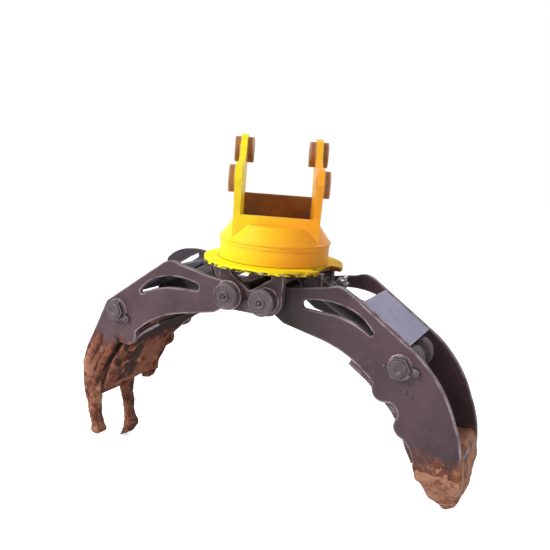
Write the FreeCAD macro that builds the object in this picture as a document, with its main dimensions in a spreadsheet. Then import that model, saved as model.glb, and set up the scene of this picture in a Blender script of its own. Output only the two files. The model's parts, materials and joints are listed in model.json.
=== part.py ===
"""Hydraulic rotating grapple for an excavator: coupling head, slewing joint, frame and two jaws.

Every sub-part is drawn about the slewing axis: X is the way the jaws open, Y runs along their pivot
pins, Z is up, and height 0 lies a little above the flange. One shift then brings the centre of the
arm pin bore to the origin. The head stands turned by rest_slew, as it does in the photograph.
"""
import FreeCAD, Part
import math
import os

import Sketcher

doc = FreeCAD.newDocument("rotating_grapple")

# Driving dimensions

DIMENSIONS = {
    # coupling head
    "rest_slew": 26,
    "ear_gap": 300,
    "ear_thickness": 28,
    "mount_bore_radius": 35,
    "collar_radius": 55,
    "outer_collar_length": 26,
    "inner_collar_length": 28,
    "lobe_radius": 68,
    "link_pin_forward": 130,
    "link_pin_height": 323,
    "arm_pin_back": 140,
    "arm_pin_height": 437,
    "ear_foot_half_width": 150,
    "cross_plate_thickness": 18,
    "front_plate_top": 180,
    "rear_plate_top": 250,
    "drum_radius": 235,
    "drum_wall": 14,
    "drum_bottom": -12,
    "groove_height": 50,
    "groove_depth": 4,
    "shoulder_height": 79,
    "bead_radius": 6,
    "cap_top_height": 140,
    "cap_top_radius": 190,
    "ring_plate_bottom": 60,
    "ring_plate_thickness": 16,
    # slewing joint
    "ball_radius": 8,
    "ball_track_radius": 188,
    "ball_track_height": 33,
    "ball_count": 18,
    "ball_play": 0.3,
    "race_gap": 4,
    "outer_race_width": 29,
    "race_height": 42,
    "inner_race_top": 48,
    "gear_module": 5,
    "ring_teeth": 60,
    "pinion_teeth": 12,
    "backlash": 2,
    "pinion_width": 44,
    "pinion_lift": 16,
    "shaft_radius": 15,
    "running_clearance": 0.05,
    "motor_radius": 42,
    "core_radius": 35,
    "core_foot_radius": 60,
    "core_foot_thickness": 10,
    "core_height": 96,
    "housing_radius": 58,
    "housing_length": 96,
    "race_bolts_per_side": 5,
    "race_bolt_spread": 90,
    "race_bolt_circle": 168,
    "race_bolt_radius": 6,
    "bolt_head_radius": 10.5,
    "bolt_head_height": 9,
    "bolt_hole_play": 0.4,
    "bolt_head_gap": 2,
    # turning frame
    "flange_radius": 300,
    "flange_thickness": 20,
    "flange_gap": 2,
    "flange_bore_radius": 45,
    "notch_width": 165,
    "notch_depth": 57,
    "notch_angle": -10,
    "frame_side_gap": 5,
    "frame_plate_thickness": 22,
    "frame_half_width": 150,
    "frame_boss_radius": 66,
    "window_half_width": 92,
    "window_top_margin": 16,
    "window_depth": 74,
    "window_corner": 12,
    "pivot_half_spacing": 83,
    "pivot_drop": 153,
    "pivot_pin_radius": 32.5,
    "pin_cap_gap": 0.5,
    "pin_cap_radius": 56,
    "pin_cap_thickness": 14,
    "pin_cap_chamfer": 5,
    "grease_hole_radius": 9,
    "grease_hole_depth": 8,
    "outer_boss_radius": 50,
    "spacer_radius": 20,
    "spacer_drop": 185,
    "spacer_stand_out": 12,
    "cross_plate_drop": 38,
    "cross_plate_width": 14,
    "lug_inner": 50,
    "lug_thickness": 18,
    "lug_radius": 46,
    "base_pin_reach": 215,
    "base_pin_drop": 84,
    "base_pin_radius": 20,
    "base_pin_head": 10,
    # jaws
    "narrow_side_gap": 6,
    "narrow_plate_thickness": 20,
    "wide_plate_inner": 208,
    "wide_plate_thickness": 22,
    "hub_radius": 58,
    "bush_outer_radius": 40,
    "bush_length": 60,
    "hub_ring_radius": 57,
    "hub_ring_height": 21.5,
    "rod_pin_reach": 651,
    "rod_pin_drop": 317,
    "rod_pin_radius": 25,
    "rod_pin_boss_radius": 45,
    "rod_pin_boss_height": 12,
    "rod_pin_cap_radius": 46,
    "rod_pin_cap_height": 20,
    "eye_spacer_radius": 42,
    "web_thickness": 16,
    "back_plate_lap": 50,
    "back_plate_step": 5,
    "cover_thickness": 10,
    "cover_start": 468,
    "cover_end": 672,
    "guard_clearance": 0.3,
    "finger_inner": 95,
    "finger_width": 60,
    "guard_thickness": 12,
    "tine_tip_half_width": 36,
    # cylinders
    "rod_radius": 25,
    "rod_eye_radius": 46,
    "rod_eye_half_width": 45,
    "rod_length": 400,
    "piston_width": 40,
    "barrel_radius": 52,
    "barrel_bore_radius": 40,
    "barrel_start": 64,
    "barrel_length": 318,
    "barrel_floor": 20,
    "gland_width": 45,
    "base_eye_radius": 42,
    "base_eye_half_width": 38,
    "base_pivot_clearance": 11,
    "port_block_width": 44,
    "port_block_height": 22,
}

sheet = doc.addObject("Spreadsheet::Sheet", "sizes")
for row, (alias, value) in enumerate(DIMENSIONS.items(), start=1):
    sheet.set(f"A{row}", alias)
    sheet.set(f"B{row}", str(value))
    sheet.setAlias(f"B{row}", alias)
doc.recompute()


def size(alias):
    """Read one driving dimension from the sheet."""
    return float(sheet.get(alias))


# Values worked out from the driving dimensions

flange_top = size("drum_bottom") - size("flange_gap")
flange_bottom = flange_top - size("flange_thickness")
wide_outer = size("wide_plate_inner") + size("wide_plate_thickness")
frame_outer = size("wide_plate_inner") - size("frame_side_gap")
frame_inner = frame_outer - size("frame_plate_thickness")
narrow_outer = frame_inner - size("narrow_side_gap")
narrow_inner = narrow_outer - size("narrow_plate_thickness")
pivot_pin_half = wide_outer + size("hub_ring_height") + size("pin_cap_gap")
cap_bottom = size("cap_top_height") - size("drum_wall")
ring_plate_top = size("ring_plate_bottom") + size("ring_plate_thickness")
drum_inner = size("drum_radius") - size("drum_wall")
shoulder_inner = drum_inner - 0.4 * size("drum_wall")
pivot_x = size("pivot_half_spacing")
pivot_z = -size("pivot_drop")
base_pin = (size("base_pin_reach"), -size("base_pin_drop"))
rod_pin = (size("rod_pin_reach"), -size("rod_pin_drop"))
pinion_offset = size("gear_module") * (size("ring_teeth") - size("pinion_teeth")) / 2

slew = math.radians(size("rest_slew"))
axis_x = size("arm_pin_back") * math.sin(slew)
axis_y = -size("arm_pin_back") * math.cos(slew)
axis_z = -size("arm_pin_height")

finished = []


def place_turning(part):
    """Bring a part that turns with the frame from the slewing axis to its place."""
    part.Placement = FreeCAD.Placement(FreeCAD.Vector(axis_x, axis_y, axis_z), FreeCAD.Rotation())
    finished.append(part)
    return part


def place_head(part):
    """Bring a part of the head to its place, turned by the rest angle."""
    turn = FreeCAD.Rotation(FreeCAD.Vector(0, 0, 1), size("rest_slew"))
    part.Placement = FreeCAD.Placement(FreeCAD.Vector(axis_x, axis_y, axis_z), turn)
    finished.append(part)
    return part


# Ways to draw a piece

def outline_edges(points):
    """Closed outline: a pair is the end of a line, a pair of pairs is (point on the arc, end)."""
    edges = []
    start = points[-1] if not isinstance(points[-1][0], tuple) else points[-1][1]
    for item in points:
        if isinstance(item[0], tuple):
            middle, end = item
            edges.append(Part.Arc(vector(start), vector(middle), vector(end)))
        else:
            end = item
            edges.append(Part.LineSegment(vector(start), vector(end)))
        start = end
    return edges


def vector(point):
    """Point of a sketch."""
    return FreeCAD.Vector(point[0], point[1], 0)


def mirrored(points):
    """The same outline on the other side of the slewing axis."""
    def flip(item):
        if isinstance(item[0], tuple):
            return (flip(item[0]), flip(item[1]))
        return (-item[0], item[1])
    return [flip(item) for item in points]


def side_outline(points, side):
    """Outline for the right (1) or the left (-1) jaw."""
    return points if side > 0 else mirrored(points)


def new_sketch(body, role, name):
    """Sketch on one of the body's own origin planes."""
    sketch = body.newObject("Sketcher::SketchObject", name)
    plane = [item for item in body.Origin.OriginFeatures if item.Role == role][0]
    sketch.AttachmentSupport = (plane, [""])
    sketch.MapMode = "FlatFace"
    return sketch


def add_circle(sketch, centre, radius_expression):
    """Circle whose radius is bound to the sheet."""
    index = sketch.addGeometry(Part.Circle(vector(centre), FreeCAD.Vector(0, 0, 1), 10))
    number = sketch.addConstraint(Sketcher.Constraint("Radius", index, 10))
    sketch.setExpression(f"Constraints[{number}]", radius_expression)


def padded(label, role, outline, circles, length, start=0.0, midplane=False):
    """Body with one sketch (outline and round holes) padded by a length bound to the sheet."""
    body = doc.addObject("PartDesign::Body", label)
    sketch = new_sketch(body, role, f"{label}_sketch")
    if outline:
        for edge in outline_edges(outline):
            sketch.addGeometry(edge)
    for centre, radius in circles:
        add_circle(sketch, centre, radius)
    along_normal = -start if role == "XZ_Plane" else start
    sketch.AttachmentOffset = FreeCAD.Placement(FreeCAD.Vector(0, 0, along_normal),
                                                FreeCAD.Rotation())
    pad = body.newObject("PartDesign::Pad", f"{label}_pad")
    pad.Profile = sketch
    pad.Midplane = midplane
    pad.setExpression("Length", length)
    return body


def across(label, outline, circles, near, length):
    """Plate or ring across Y that starts at the distance near and grows away from the viewer side."""
    return padded(label, "XZ_Plane", outline, circles, length, start=near)


def revolved(label, profile):
    """Body turned about the slewing axis from a profile of (radius, height) points."""
    body = doc.addObject("PartDesign::Body", label)
    sketch = new_sketch(body, "XZ_Plane", f"{label}_sketch")
    for edge in outline_edges(profile):
        sketch.addGeometry(edge)
    turn = body.newObject("PartDesign::Revolution", f"{label}_turn")
    turn.Profile = sketch
    turn.ReferenceAxis = (sketch, ["V_Axis"])
    turn.Angle = 360
    return body


def group(label, pieces):
    """Several loose solids that share one node."""
    bundle = doc.addObject("Part::Compound", label)
    bundle.Links = pieces
    return bundle


def far_of(label, near_piece):
    """Mirror image of a near piece on the far side of the jaws."""
    far_piece = doc.addObject("Part::Mirroring", label)
    far_piece.Source = near_piece
    far_piece.Normal = FreeCAD.Vector(0, 1, 0)
    return far_piece


def far_sub_part(label, placed_piece):
    """Mirror image, across the middle of the jaws, of a near sub-part that is already placed."""
    far_piece = far_of(label, placed_piece)
    far_piece.Base = FreeCAD.Vector(0, axis_y, 0)
    finished.append(far_piece)
    return far_piece


def near_and_far(label, near_pieces):
    """Near pieces and their mirror images, loose solids of one node."""
    far_pieces = [far_of(f"{piece.Label}_mirrored", piece) for piece in near_pieces]
    return group(label, near_pieces + far_pieces)


def cut(label, base, tool):
    """Base less tool."""
    result = doc.addObject("Part::Cut", label)
    result.Base = base
    result.Tool = tool
    return result


def fuse(label, pieces):
    """Welded or forged as one."""
    result = doc.addObject("Part::MultiFuse", label)
    result.Shapes = pieces
    return result


def cylinder(label, radius, length, base, direction=(0, 0, 1)):
    """Round bar with its radius and length bound to the sheet."""
    bar = doc.addObject("Part::Cylinder", label)
    bar.setExpression("Radius", radius)
    bar.setExpression("Height", length)
    bar.Placement = FreeCAD.Placement(
        FreeCAD.Vector(*base),
        FreeCAD.Rotation(FreeCAD.Vector(0, 0, 1), FreeCAD.Vector(*direction)))
    return bar


def box(label, corner, extent):
    """Block from its lowest corner and its three lengths."""
    block = doc.addObject("Part::Box", label)
    block.Length, block.Width, block.Height = extent
    block.Placement.Base = FreeCAD.Vector(*corner)
    return block


# Coupling head

def build_head_drum():
    groove = size("groove_depth")
    groove_low = size("groove_height") - groove
    groove_high = size("groove_height") + groove
    radius = size("drum_radius")
    shoulder = size("shoulder_height")
    bead = size("bead_radius")
    drum = revolved("head_drum", [
        (radius, size("drum_bottom")),
        (radius, groove_low),
        ((radius - groove, size("groove_height")), (radius, groove_high)),
        (radius, shoulder - 2 * bead),
        ((radius + bead, shoulder - bead), (radius, shoulder)),
        (size("cap_top_radius"), size("cap_top_height")),
        (size("housing_radius"), size("cap_top_height")),
        (size("housing_radius"), cap_bottom),
        (size("cap_top_radius") - 0.6 * size("drum_wall"), cap_bottom),
        (shoulder_inner, shoulder),
        (drum_inner, shoulder - 2),
        (drum_inner, size("drum_bottom")),
    ])
    return place_head(drum)


def drum_solid(label):
    """Outer form of the drum, filled, to scribe the plates that stand on it."""
    return revolved(label, [
        (0, 0),
        (size("drum_radius"), 0),
        (size("drum_radius"), size("shoulder_height")),
        (size("cap_top_radius"), size("cap_top_height")),
        (0, size("cap_top_height")),
    ])


def ear_outline():
    front = -size("link_pin_forward")
    rear = size("arm_pin_back")
    low = size("link_pin_height")
    high = size("arm_pin_height")
    lobe = size("lobe_radius")
    foot = size("ear_foot_half_width")
    slant = math.sqrt(0.5) * lobe
    return [
        (-foot, size("shoulder_height")),
        (-foot, low - 2 * lobe),
        (front - lobe, low),
        ((front - slant, low + slant), (front, low + lobe)),
        ((front + lobe, low + 0.9 * lobe), (rear - lobe, high)),
        ((rear, high + lobe), (rear + lobe, high)),
        (foot, low - 2 * lobe),
        (foot, size("shoulder_height")),
    ]


def build_ears():
    bores = [
        ((-size("link_pin_forward"), size("link_pin_height")), "sizes.mount_bore_radius"),
        ((size("arm_pin_back"), size("arm_pin_height")), "sizes.mount_bore_radius"),
    ]
    inner = size("ear_gap") / 2
    starts = {"ear_right": inner, "ear_left": -inner - size("ear_thickness")}
    for name, start in starts.items():
        blank = padded(f"{name}_blank", "YZ_Plane", ear_outline(), bores,
                       "sizes.ear_thickness", start=start)
        place_head(cut(name, blank, drum_solid(f"{name}_scribe")))


def build_collars():
    outer = size("ear_gap") / 2 + size("ear_thickness")
    inner = size("ear_gap") / 2 - size("inner_collar_length")
    length = size("outer_collar_length")
    spots = {
        "link_pin_collars": ((-size("link_pin_forward"), size("link_pin_height")),
                             {"right": (outer, "outer"), "left": (-outer - length, "outer")}),
        "arm_pin_collars": ((size("arm_pin_back"), size("arm_pin_height")),
                            {"right": (outer, "outer"), "left": (-outer - length, "outer"),
                             "inner_right": (inner, "inner"),
                             "inner_left": (-size("ear_gap") / 2, "inner")}),
    }
    for name, (centre, rings) in spots.items():
        pieces = []
        for place, (start, kind) in rings.items():
            circles = [(centre, "sizes.collar_radius"), (centre, "sizes.mount_bore_radius")]
            pieces.append(padded(f"{name}_{place}", "YZ_Plane", None, circles,
                                 f"sizes.{kind}_collar_length", start=start))
        place_head(group(name, pieces))


def build_cross_plates():
    gap = size("ear_gap")
    low = size("shoulder_height")
    thick = size("cross_plate_thickness")
    foot = size("ear_foot_half_width")
    tops = {"cross_plate_front": (-foot, size("front_plate_top")),
            "cross_plate_rear": (foot - thick, size("rear_plate_top"))}
    for name, (start, top) in tops.items():
        blank = box(f"{name}_blank", (-gap / 2, start, low), (gap, thick, top - low))
        place_head(cut(name, blank, drum_solid(f"{name}_scribe")))


def build_ring_plate():
    low = size("ring_plate_bottom")
    plate = revolved("ring_plate_blank", [
        (size("housing_radius") + size("ring_plate_thickness"), low),
        (drum_inner, low),
        (drum_inner, ring_plate_top),
        (size("housing_radius") + size("ring_plate_thickness"), ring_plate_top),
    ])
    hole = cylinder("ring_plate_hole", "sizes.shaft_radius + 6", "sizes.ring_plate_thickness * 3",
                    (0, pinion_offset, low - size("ring_plate_thickness")))
    place_head(cut("head_ring_plate", plate, hole))


# Slewing joint

def race_groove(radius, sign):
    """Three points of the ball groove in a race face, from low to high."""
    groove = size("ball_radius") + size("ball_play")
    offset = abs(radius - size("ball_track_radius"))
    reach = math.sqrt(groove ** 2 - offset ** 2)
    height = size("ball_track_height")
    low = (radius, height - reach)
    deep = (size("ball_track_radius") + sign * groove, height)
    high = (radius, height + reach)
    return low, deep, high


def build_outer_race():
    face = size("ball_track_radius") + size("race_gap") / 2
    top = size("ring_plate_bottom")
    low, deep, high = race_groove(face, 1)
    race = revolved("slew_race_outer", [
        (face, top - size("race_height")),
        (face + size("outer_race_width"), top - size("race_height")),
        (face + size("outer_race_width"), top),
        (face, top),
        high,
        (deep, low),
    ])
    place_head(race)


def gear_outline(teeth, pitch_radius, outward, inward, thickness, phase):
    """Straight-flanked teeth: corner points of every tooth, in order round the circle."""
    points = []
    pressure = math.radians(20)
    for index in range(int(teeth)):
        centre = phase + 2 * math.pi * index / teeth
        half_root = (thickness / 2 + inward * math.tan(pressure)) / pitch_radius
        half_tip = (thickness / 2 - outward * math.tan(pressure)) / pitch_radius
        for angle, height in ((-half_root, -inward), (-half_tip, outward),
                              (half_tip, outward), (half_root, -inward)):
            radius = pitch_radius + height
            points.append((radius * math.cos(centre + angle), radius * math.sin(centre + angle)))
    return points


def build_inner_race():
    face = size("ball_track_radius") - size("race_gap") / 2
    module = size("gear_module")
    pitch = module * size("ring_teeth") / 2
    low, deep, high = race_groove(face, -1)
    blank = revolved("inner_race_blank", [
        (pitch - module, flange_top),
        (face, flange_top),
        low,
        (deep, high),
        (face, size("inner_race_top")),
        (pitch - module, size("inner_race_top")),
    ])
    gap_width = math.pi * module / 2 + size("backlash") / 2
    spaces = gear_outline(size("ring_teeth"), pitch, 1.25 * module, 1.2 * module, gap_width,
                          math.pi / 2 + slew)
    height = size("inner_race_top") - flange_top
    cutter = padded("ring_gear_spaces", "XY_Plane", spaces, [], f"{height} mm * 1.2",
                    start=flange_top - 0.1 * height)
    toothed = cut("inner_race_toothed", blank, cutter)
    place_turning(cut("slew_race_inner", toothed, race_bolt_holes("inner_race_holes")))


def race_bolt_spots():
    """Places of the bolts that hold the inner race, where their heads clear the frame plates."""
    count = int(size("race_bolts_per_side"))
    circle = size("race_bolt_circle")
    reach = frame_inner - size("bolt_head_gap") - size("bolt_head_radius")
    step = size("race_bolt_spread") / (count - 1)
    turns = [math.radians(middle + step * (index - (count - 1) / 2))
             for middle in (90, -90) for index in range(count)]
    return [(circle * math.cos(turn), circle * math.sin(turn)) for turn in turns
            if abs(circle * math.sin(turn)) <= reach]


def race_bolt_holes(label):
    """Holes through the flange and into the inner race."""
    depth = size("flange_thickness") + 0.6 * (size("ball_track_height") - flange_top)
    holes = [cylinder(f"{label}_{index}", "sizes.race_bolt_radius + sizes.bolt_hole_play",
                      f"{depth + 2} mm", (spot[0], spot[1], flange_bottom - 1))
             for index, spot in enumerate(race_bolt_spots())]
    return group(label, holes)


def build_race_bolts():
    depth = size("flange_thickness") + 0.5 * (size("ball_track_height") - flange_top)
    bolts = []
    for index, spot in enumerate(race_bolt_spots()):
        shank = cylinder(f"race_shank_{index}", "sizes.race_bolt_radius", f"{depth} mm",
                         (spot[0], spot[1], flange_bottom))
        head = doc.addObject("Part::Prism", f"race_head_{index}")
        head.Polygon = 6
        head.setExpression("Circumradius", "sizes.bolt_head_radius")
        head.setExpression("Height", "sizes.bolt_head_height")
        head.Placement.Base = FreeCAD.Vector(spot[0], spot[1], flange_bottom - size("bolt_head_height"))
        bolts.append(fuse(f"race_bolt_{index}", [head, shank]))
    place_turning(group("slew_race_bolts", bolts))


def build_balls():
    balls = []
    count = int(size("ball_count"))
    for index in range(count):
        turn = 2 * math.pi * index / count
        ball = doc.addObject("Part::Sphere", f"slew_ball_{index}")
        ball.setExpression("Radius", "sizes.ball_radius")
        ball.Placement.Base = FreeCAD.Vector(size("ball_track_radius") * math.cos(turn),
                                             size("ball_track_radius") * math.sin(turn),
                                             size("ball_track_height"))
        balls.append(ball)
    place_turning(group("slew_balls", balls))


def build_drive():
    low = flange_top + size("pinion_lift")
    module = size("gear_module")
    pitch = module * size("pinion_teeth") / 2
    tooth = math.pi * module / 2 - size("backlash") / 2
    teeth = gear_outline(size("pinion_teeth"), pitch, module, 1.25 * module, tooth, math.pi / 2)
    wheel = padded("pinion_wheel", "XY_Plane", teeth, [], "sizes.pinion_width", start=low)
    wheel.Placement.Base.y = pinion_offset
    shaft_length = cap_bottom - 2 * size("ring_plate_thickness") - low
    shaft = cylinder("pinion_shaft", "sizes.shaft_radius", f"{shaft_length} mm",
                     (0, pinion_offset, low))
    place_head(fuse("slew_pinion", [wheel, shaft]))
    bore = "sizes.shaft_radius + sizes.running_clearance"
    motor_length = cap_bottom - ring_plate_top
    case = cylinder("motor_case", "sizes.motor_radius", f"{motor_length} mm",
                    (0, pinion_offset, ring_plate_top))
    hole = cylinder("motor_bore", bore, f"{motor_length - size('drum_wall')} mm",
                    (0, pinion_offset, ring_plate_top - 1))
    place_head(cut("slew_motor", case, hole))


def build_rotary_joint():
    foot_top = flange_top + size("core_foot_thickness")
    core = revolved("oil_joint_core", [
        (0, flange_bottom - 6),
        (size("flange_bore_radius") - 2, flange_bottom - 6),
        (size("flange_bore_radius") - 2, flange_top),
        (size("core_foot_radius"), flange_top),
        (size("core_foot_radius"), foot_top),
        (size("core_radius"), foot_top),
        (size("core_radius"), foot_top + size("core_height")),
        (0, foot_top + size("core_height")),
    ])
    place_turning(core)
    top = size("cap_top_height")
    length = size("housing_length")
    inner = size("core_radius") + size("running_clearance")
    lid = top - size("drum_wall")
    housing = revolved("oil_joint_housing", [
        (inner, top - length - size("drum_wall")),
        (size("housing_radius"), top - length - size("drum_wall")),
        (size("housing_radius"), top),
        (0, top),
        (0, lid),
        (inner, lid),
    ])
    place_head(housing)


# Turning frame

def build_flange():
    disc = revolved("flange_disc", [
        (size("flange_bore_radius"), flange_bottom),
        (size("flange_radius"), flange_bottom),
        (size("flange_radius"), flange_top),
        (size("flange_bore_radius"), flange_top),
    ])
    notch = box("flange_notch", (size("flange_radius") - size("notch_depth"),
                                 -size("notch_width") / 2, flange_bottom - 5),
                (2 * size("notch_depth"), size("notch_width"), size("flange_thickness") + 10))
    turn = FreeCAD.Rotation(FreeCAD.Vector(0, 0, 1), size("notch_angle"))
    notch.Placement = FreeCAD.Placement(FreeCAD.Vector(0, 0, 0), turn).multiply(notch.Placement)
    notched = cut("flange_notched", disc, notch)
    place_turning(cut("flange_plate", notched, race_bolt_holes("flange_holes")))


def frame_plate_outline():
    half = size("frame_half_width")
    boss = size("frame_boss_radius")
    slant = math.sqrt(0.5) * boss
    low = pivot_z - boss
    return [
        (-half, flange_bottom),
        (-pivot_x - boss, pivot_z),
        ((-pivot_x - slant, pivot_z - slant), (-pivot_x, low)),
        (pivot_x, low),
        ((pivot_x + slant, pivot_z - slant), (pivot_x + boss, pivot_z)),
        (half, flange_bottom),
    ]


def window_outline():
    """V-shaped window with rounded corners."""
    half = size("window_half_width")
    top = flange_bottom - size("window_top_margin")
    low = top - size("window_depth")
    corner = size("window_corner")
    return [
        (-half, top),
        ((-half - 0.3 * corner, top - 0.6 * corner), (-half + 0.6 * corner, top - 1.6 * corner)),
        (-corner, low + 0.4 * corner),
        ((0, low), (corner, low + 0.4 * corner)),
        (half - 0.6 * corner, top - 1.6 * corner),
        ((half + 0.3 * corner, top - 0.6 * corner), (half, top)),
    ]


def build_frame_plates():
    pivots = [((pivot_x, pivot_z), "sizes.pivot_pin_radius"),
              ((-pivot_x, pivot_z), "sizes.pivot_pin_radius"),
              ((0, -size("spacer_drop")), "sizes.spacer_radius")]
    plate = across("frame_plate_whole", frame_plate_outline(), pivots, -frame_inner,
                   "sizes.frame_plate_thickness")
    window = across("frame_window", window_outline(), [],
                    -frame_inner + 5, "sizes.frame_plate_thickness + 10")
    place_turning(cut("frame_plate_front", plate, window))
    place_turning(far_of("frame_plate_rear", plate))


def build_frame_cross_plates():
    height = size("cross_plate_drop")
    span = 2 * frame_inner
    width = size("cross_plate_width")
    starts = {"cross_plate_right": size("frame_half_width") - width,
              "cross_plate_left": -size("frame_half_width")}
    plates = [box(name, (start, -span / 2, flange_bottom - height), (width, span, height))
              for name, start in starts.items()]
    place_turning(group("frame_cross_plates", plates))


def build_spacer():
    half = frame_outer + size("spacer_stand_out")
    spacer = across("frame_spacer", None, [((0, -size("spacer_drop")), "sizes.spacer_radius")],
                    half, f"{2 * half} mm")
    place_turning(spacer)


def lug_outline():
    x, z = base_pin
    radius = size("lug_radius")
    slant = math.sqrt(0.5) * radius
    return [
        (size("frame_half_width"), flange_bottom),
        (size("frame_half_width"), flange_bottom - size("cross_plate_drop")),
        (x - slant, z - slant),
        ((x, z - radius), (x + slant, z - slant)),
        (x + radius, z),
        (x + radius, flange_bottom),
    ]


def build_lugs():
    lugs = []
    pins = []
    for name, side in (("right", 1), ("left", -1)):
        centre = (side * base_pin[0], base_pin[1])
        lugs.append(across(f"lug_near_{name}", side_outline(lug_outline(), side),
                           [(centre, "sizes.base_pin_radius")], -size("lug_inner"),
                           "sizes.lug_thickness"))
        half = size("lug_inner") + size("lug_thickness")
        shank = across(f"base_pin_shank_{name}", None, [(centre, "sizes.base_pin_radius")],
                       half, f"{2 * half} mm")
        head = across(f"base_pin_head_{name}", None, [(centre, "sizes.base_pin_radius + 8")],
                      -half, "sizes.base_pin_head")
        far = far_of(f"base_pin_tail_{name}", head)
        pins.append(fuse(f"base_pin_{name}", [shank, head, far]))
    place_turning(near_and_far("cylinder_lugs", lugs))
    place_turning(group("base_pins", pins))


def build_pivot_pins():
    caps = []
    for name, side in (("right", 1), ("left", -1)):
        centre = (side * pivot_x, pivot_z)
        pin = across(f"pivot_pin_{name}", None, [(centre, "sizes.pivot_pin_radius")],
                     pivot_pin_half, f"{2 * pivot_pin_half} mm")
        place_turning(pin)
        chamfer = size("pin_cap_chamfer")
        radius = size("pin_cap_radius")
        depth = size("grease_hole_depth")
        hole = size("grease_hole_radius")
        profile = [
            (0, 0),
            (radius, 0),
            (radius, size("pin_cap_thickness") - chamfer),
            (radius - chamfer, size("pin_cap_thickness")),
            (hole, size("pin_cap_thickness")),
            (hole, size("pin_cap_thickness") - depth),
            (0, size("pin_cap_thickness") - depth),
        ]
        cap = revolved(f"pivot_cap_near_{name}", profile)
        cap.Placement = FreeCAD.Placement(
            FreeCAD.Vector(centre[0], -pivot_pin_half, centre[1]),
            FreeCAD.Rotation(FreeCAD.Vector(0, 0, 1), FreeCAD.Vector(0, -1, 0)))
        caps.append(cap)
    place_turning(near_and_far("pivot_pin_caps", caps))
    boss = across("pivot_boss_near", None,
                  [((pivot_x, pivot_z), "sizes.outer_boss_radius"),
                   ((pivot_x, pivot_z), "sizes.pivot_pin_radius")],
                  -frame_outer, f"{pivot_pin_half - frame_outer} mm")
    place_turning(near_and_far("pivot_bosses_right", [boss]))


# Jaws

right_back = {
    "corner": (704, -256),
    "upper_arc": ((808, -362), (876, -490)),
    "lower_arc": ((912, -595), (922, -690)),
    "foot": (930, -735),
}
left_back = {
    "corner": (716, -286),
    "upper_arc": ((776, -420), (826, -529)),
    "lower_arc": ((843, -600), (844, -660)),
    "foot": (836, -745),
}
ridge_top = (845, -470)
ridge_upper_arc = ((890, -555), (911, -670))
ridge_lower_arc = ((908, -755), (890, -830))
peak_start = (330, -62)
peak = (372, -52)
peak_end = (415, -66)
neck_top = (184, -88)
neck_bottom = (150, -240)
throat = (300, -272)
inner_start = (552, -405)
first_bump = (612, -470)
second_bump = (658, -522)
third_bump = (690, -600)
inner_end = (742, -700)


def hub_arc():
    """Round end of a side plate about its pivot, from the lower to the upper edge."""
    radius = size("hub_radius")
    low = (pivot_x + 0.3 * radius, pivot_z - 0.954 * radius)
    high = (pivot_x + 0.3 * radius, pivot_z + 0.954 * radius)
    return low, (pivot_x - radius, pivot_z), high


def side_plate_outline(back, foot_inner):
    """Side plate of a jaw: arched back, scalloped inner edge, round hub."""
    low, far_left, high = hub_arc()
    return [
        neck_top,
        peak_start,
        (peak, peak_end),
        back["corner"],
        back["upper_arc"],
        back["lower_arc"],
        back["foot"],
        foot_inner,
        inner_end,
        ((728, -645), third_bump),
        ((652, -565), second_bump),
        ((650, -478), first_bump),
        ((570, -464), inner_start),
        ((435, -318), throat),
        neck_bottom,
        low,
        (far_left, high),
    ]


def slot_outline():
    """Curved slot that follows the back of the jaw and narrows outwards."""
    return [
        ((340, -117), (440, -135)),
        ((488, -162), (526, -200)),
        ((532, -215), (514, -219)),
        ((440, -184), (350, -168)),
        (246, -164),
        ((226, -147), (238, -130)),
    ]


def jaw_side(name, side, inner, thickness, back, foot_inner):
    """Near and far side plate of one jaw."""
    outline = side_outline(side_plate_outline(back, foot_inner), side)
    holes = [((side * pivot_x, pivot_z), "sizes.bush_outer_radius"),
             ((side * rod_pin[0], rod_pin[1]), "sizes.rod_pin_radius")]
    plate = across(f"{name}_plate_whole", outline, holes, -inner, thickness)
    slot = across(f"{name}_slot", side_outline(slot_outline(), side), [], -inner + 5,
                  f"{thickness} + 10")
    near = place_turning(cut(f"{name}_side_near", plate, slot))
    far_sub_part(f"{name}_side_far", near)


def build_jaw_sides():
    jaw_side("jaw_right", 1, narrow_inner, "sizes.narrow_plate_thickness",
             right_back, (755, -735))
    jaw_side("jaw_left", -1, size("wide_plate_inner"), "sizes.wide_plate_thickness",
             left_back, (745, -745))


def inner_web_outline(end_outer, end_inner):
    """Curved plate that closes the jaw on its load side, inside the scalloped edge."""
    back = size("web_thickness")
    return [
        (440, -350),
        ((520, -402), (580, -452)),
        ((655, -525), (706, -640)),
        end_outer,
        end_inner,
        (706 + back, -640 + 0.4 * back),
        ((655 + 0.8 * back, -525 + 0.6 * back), (580 + 0.7 * back, -452 + 0.7 * back)),
        ((520 + 0.6 * back, -402 + 0.8 * back), (440 + 0.5 * back, -350 + 0.9 * back)),
    ]


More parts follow.
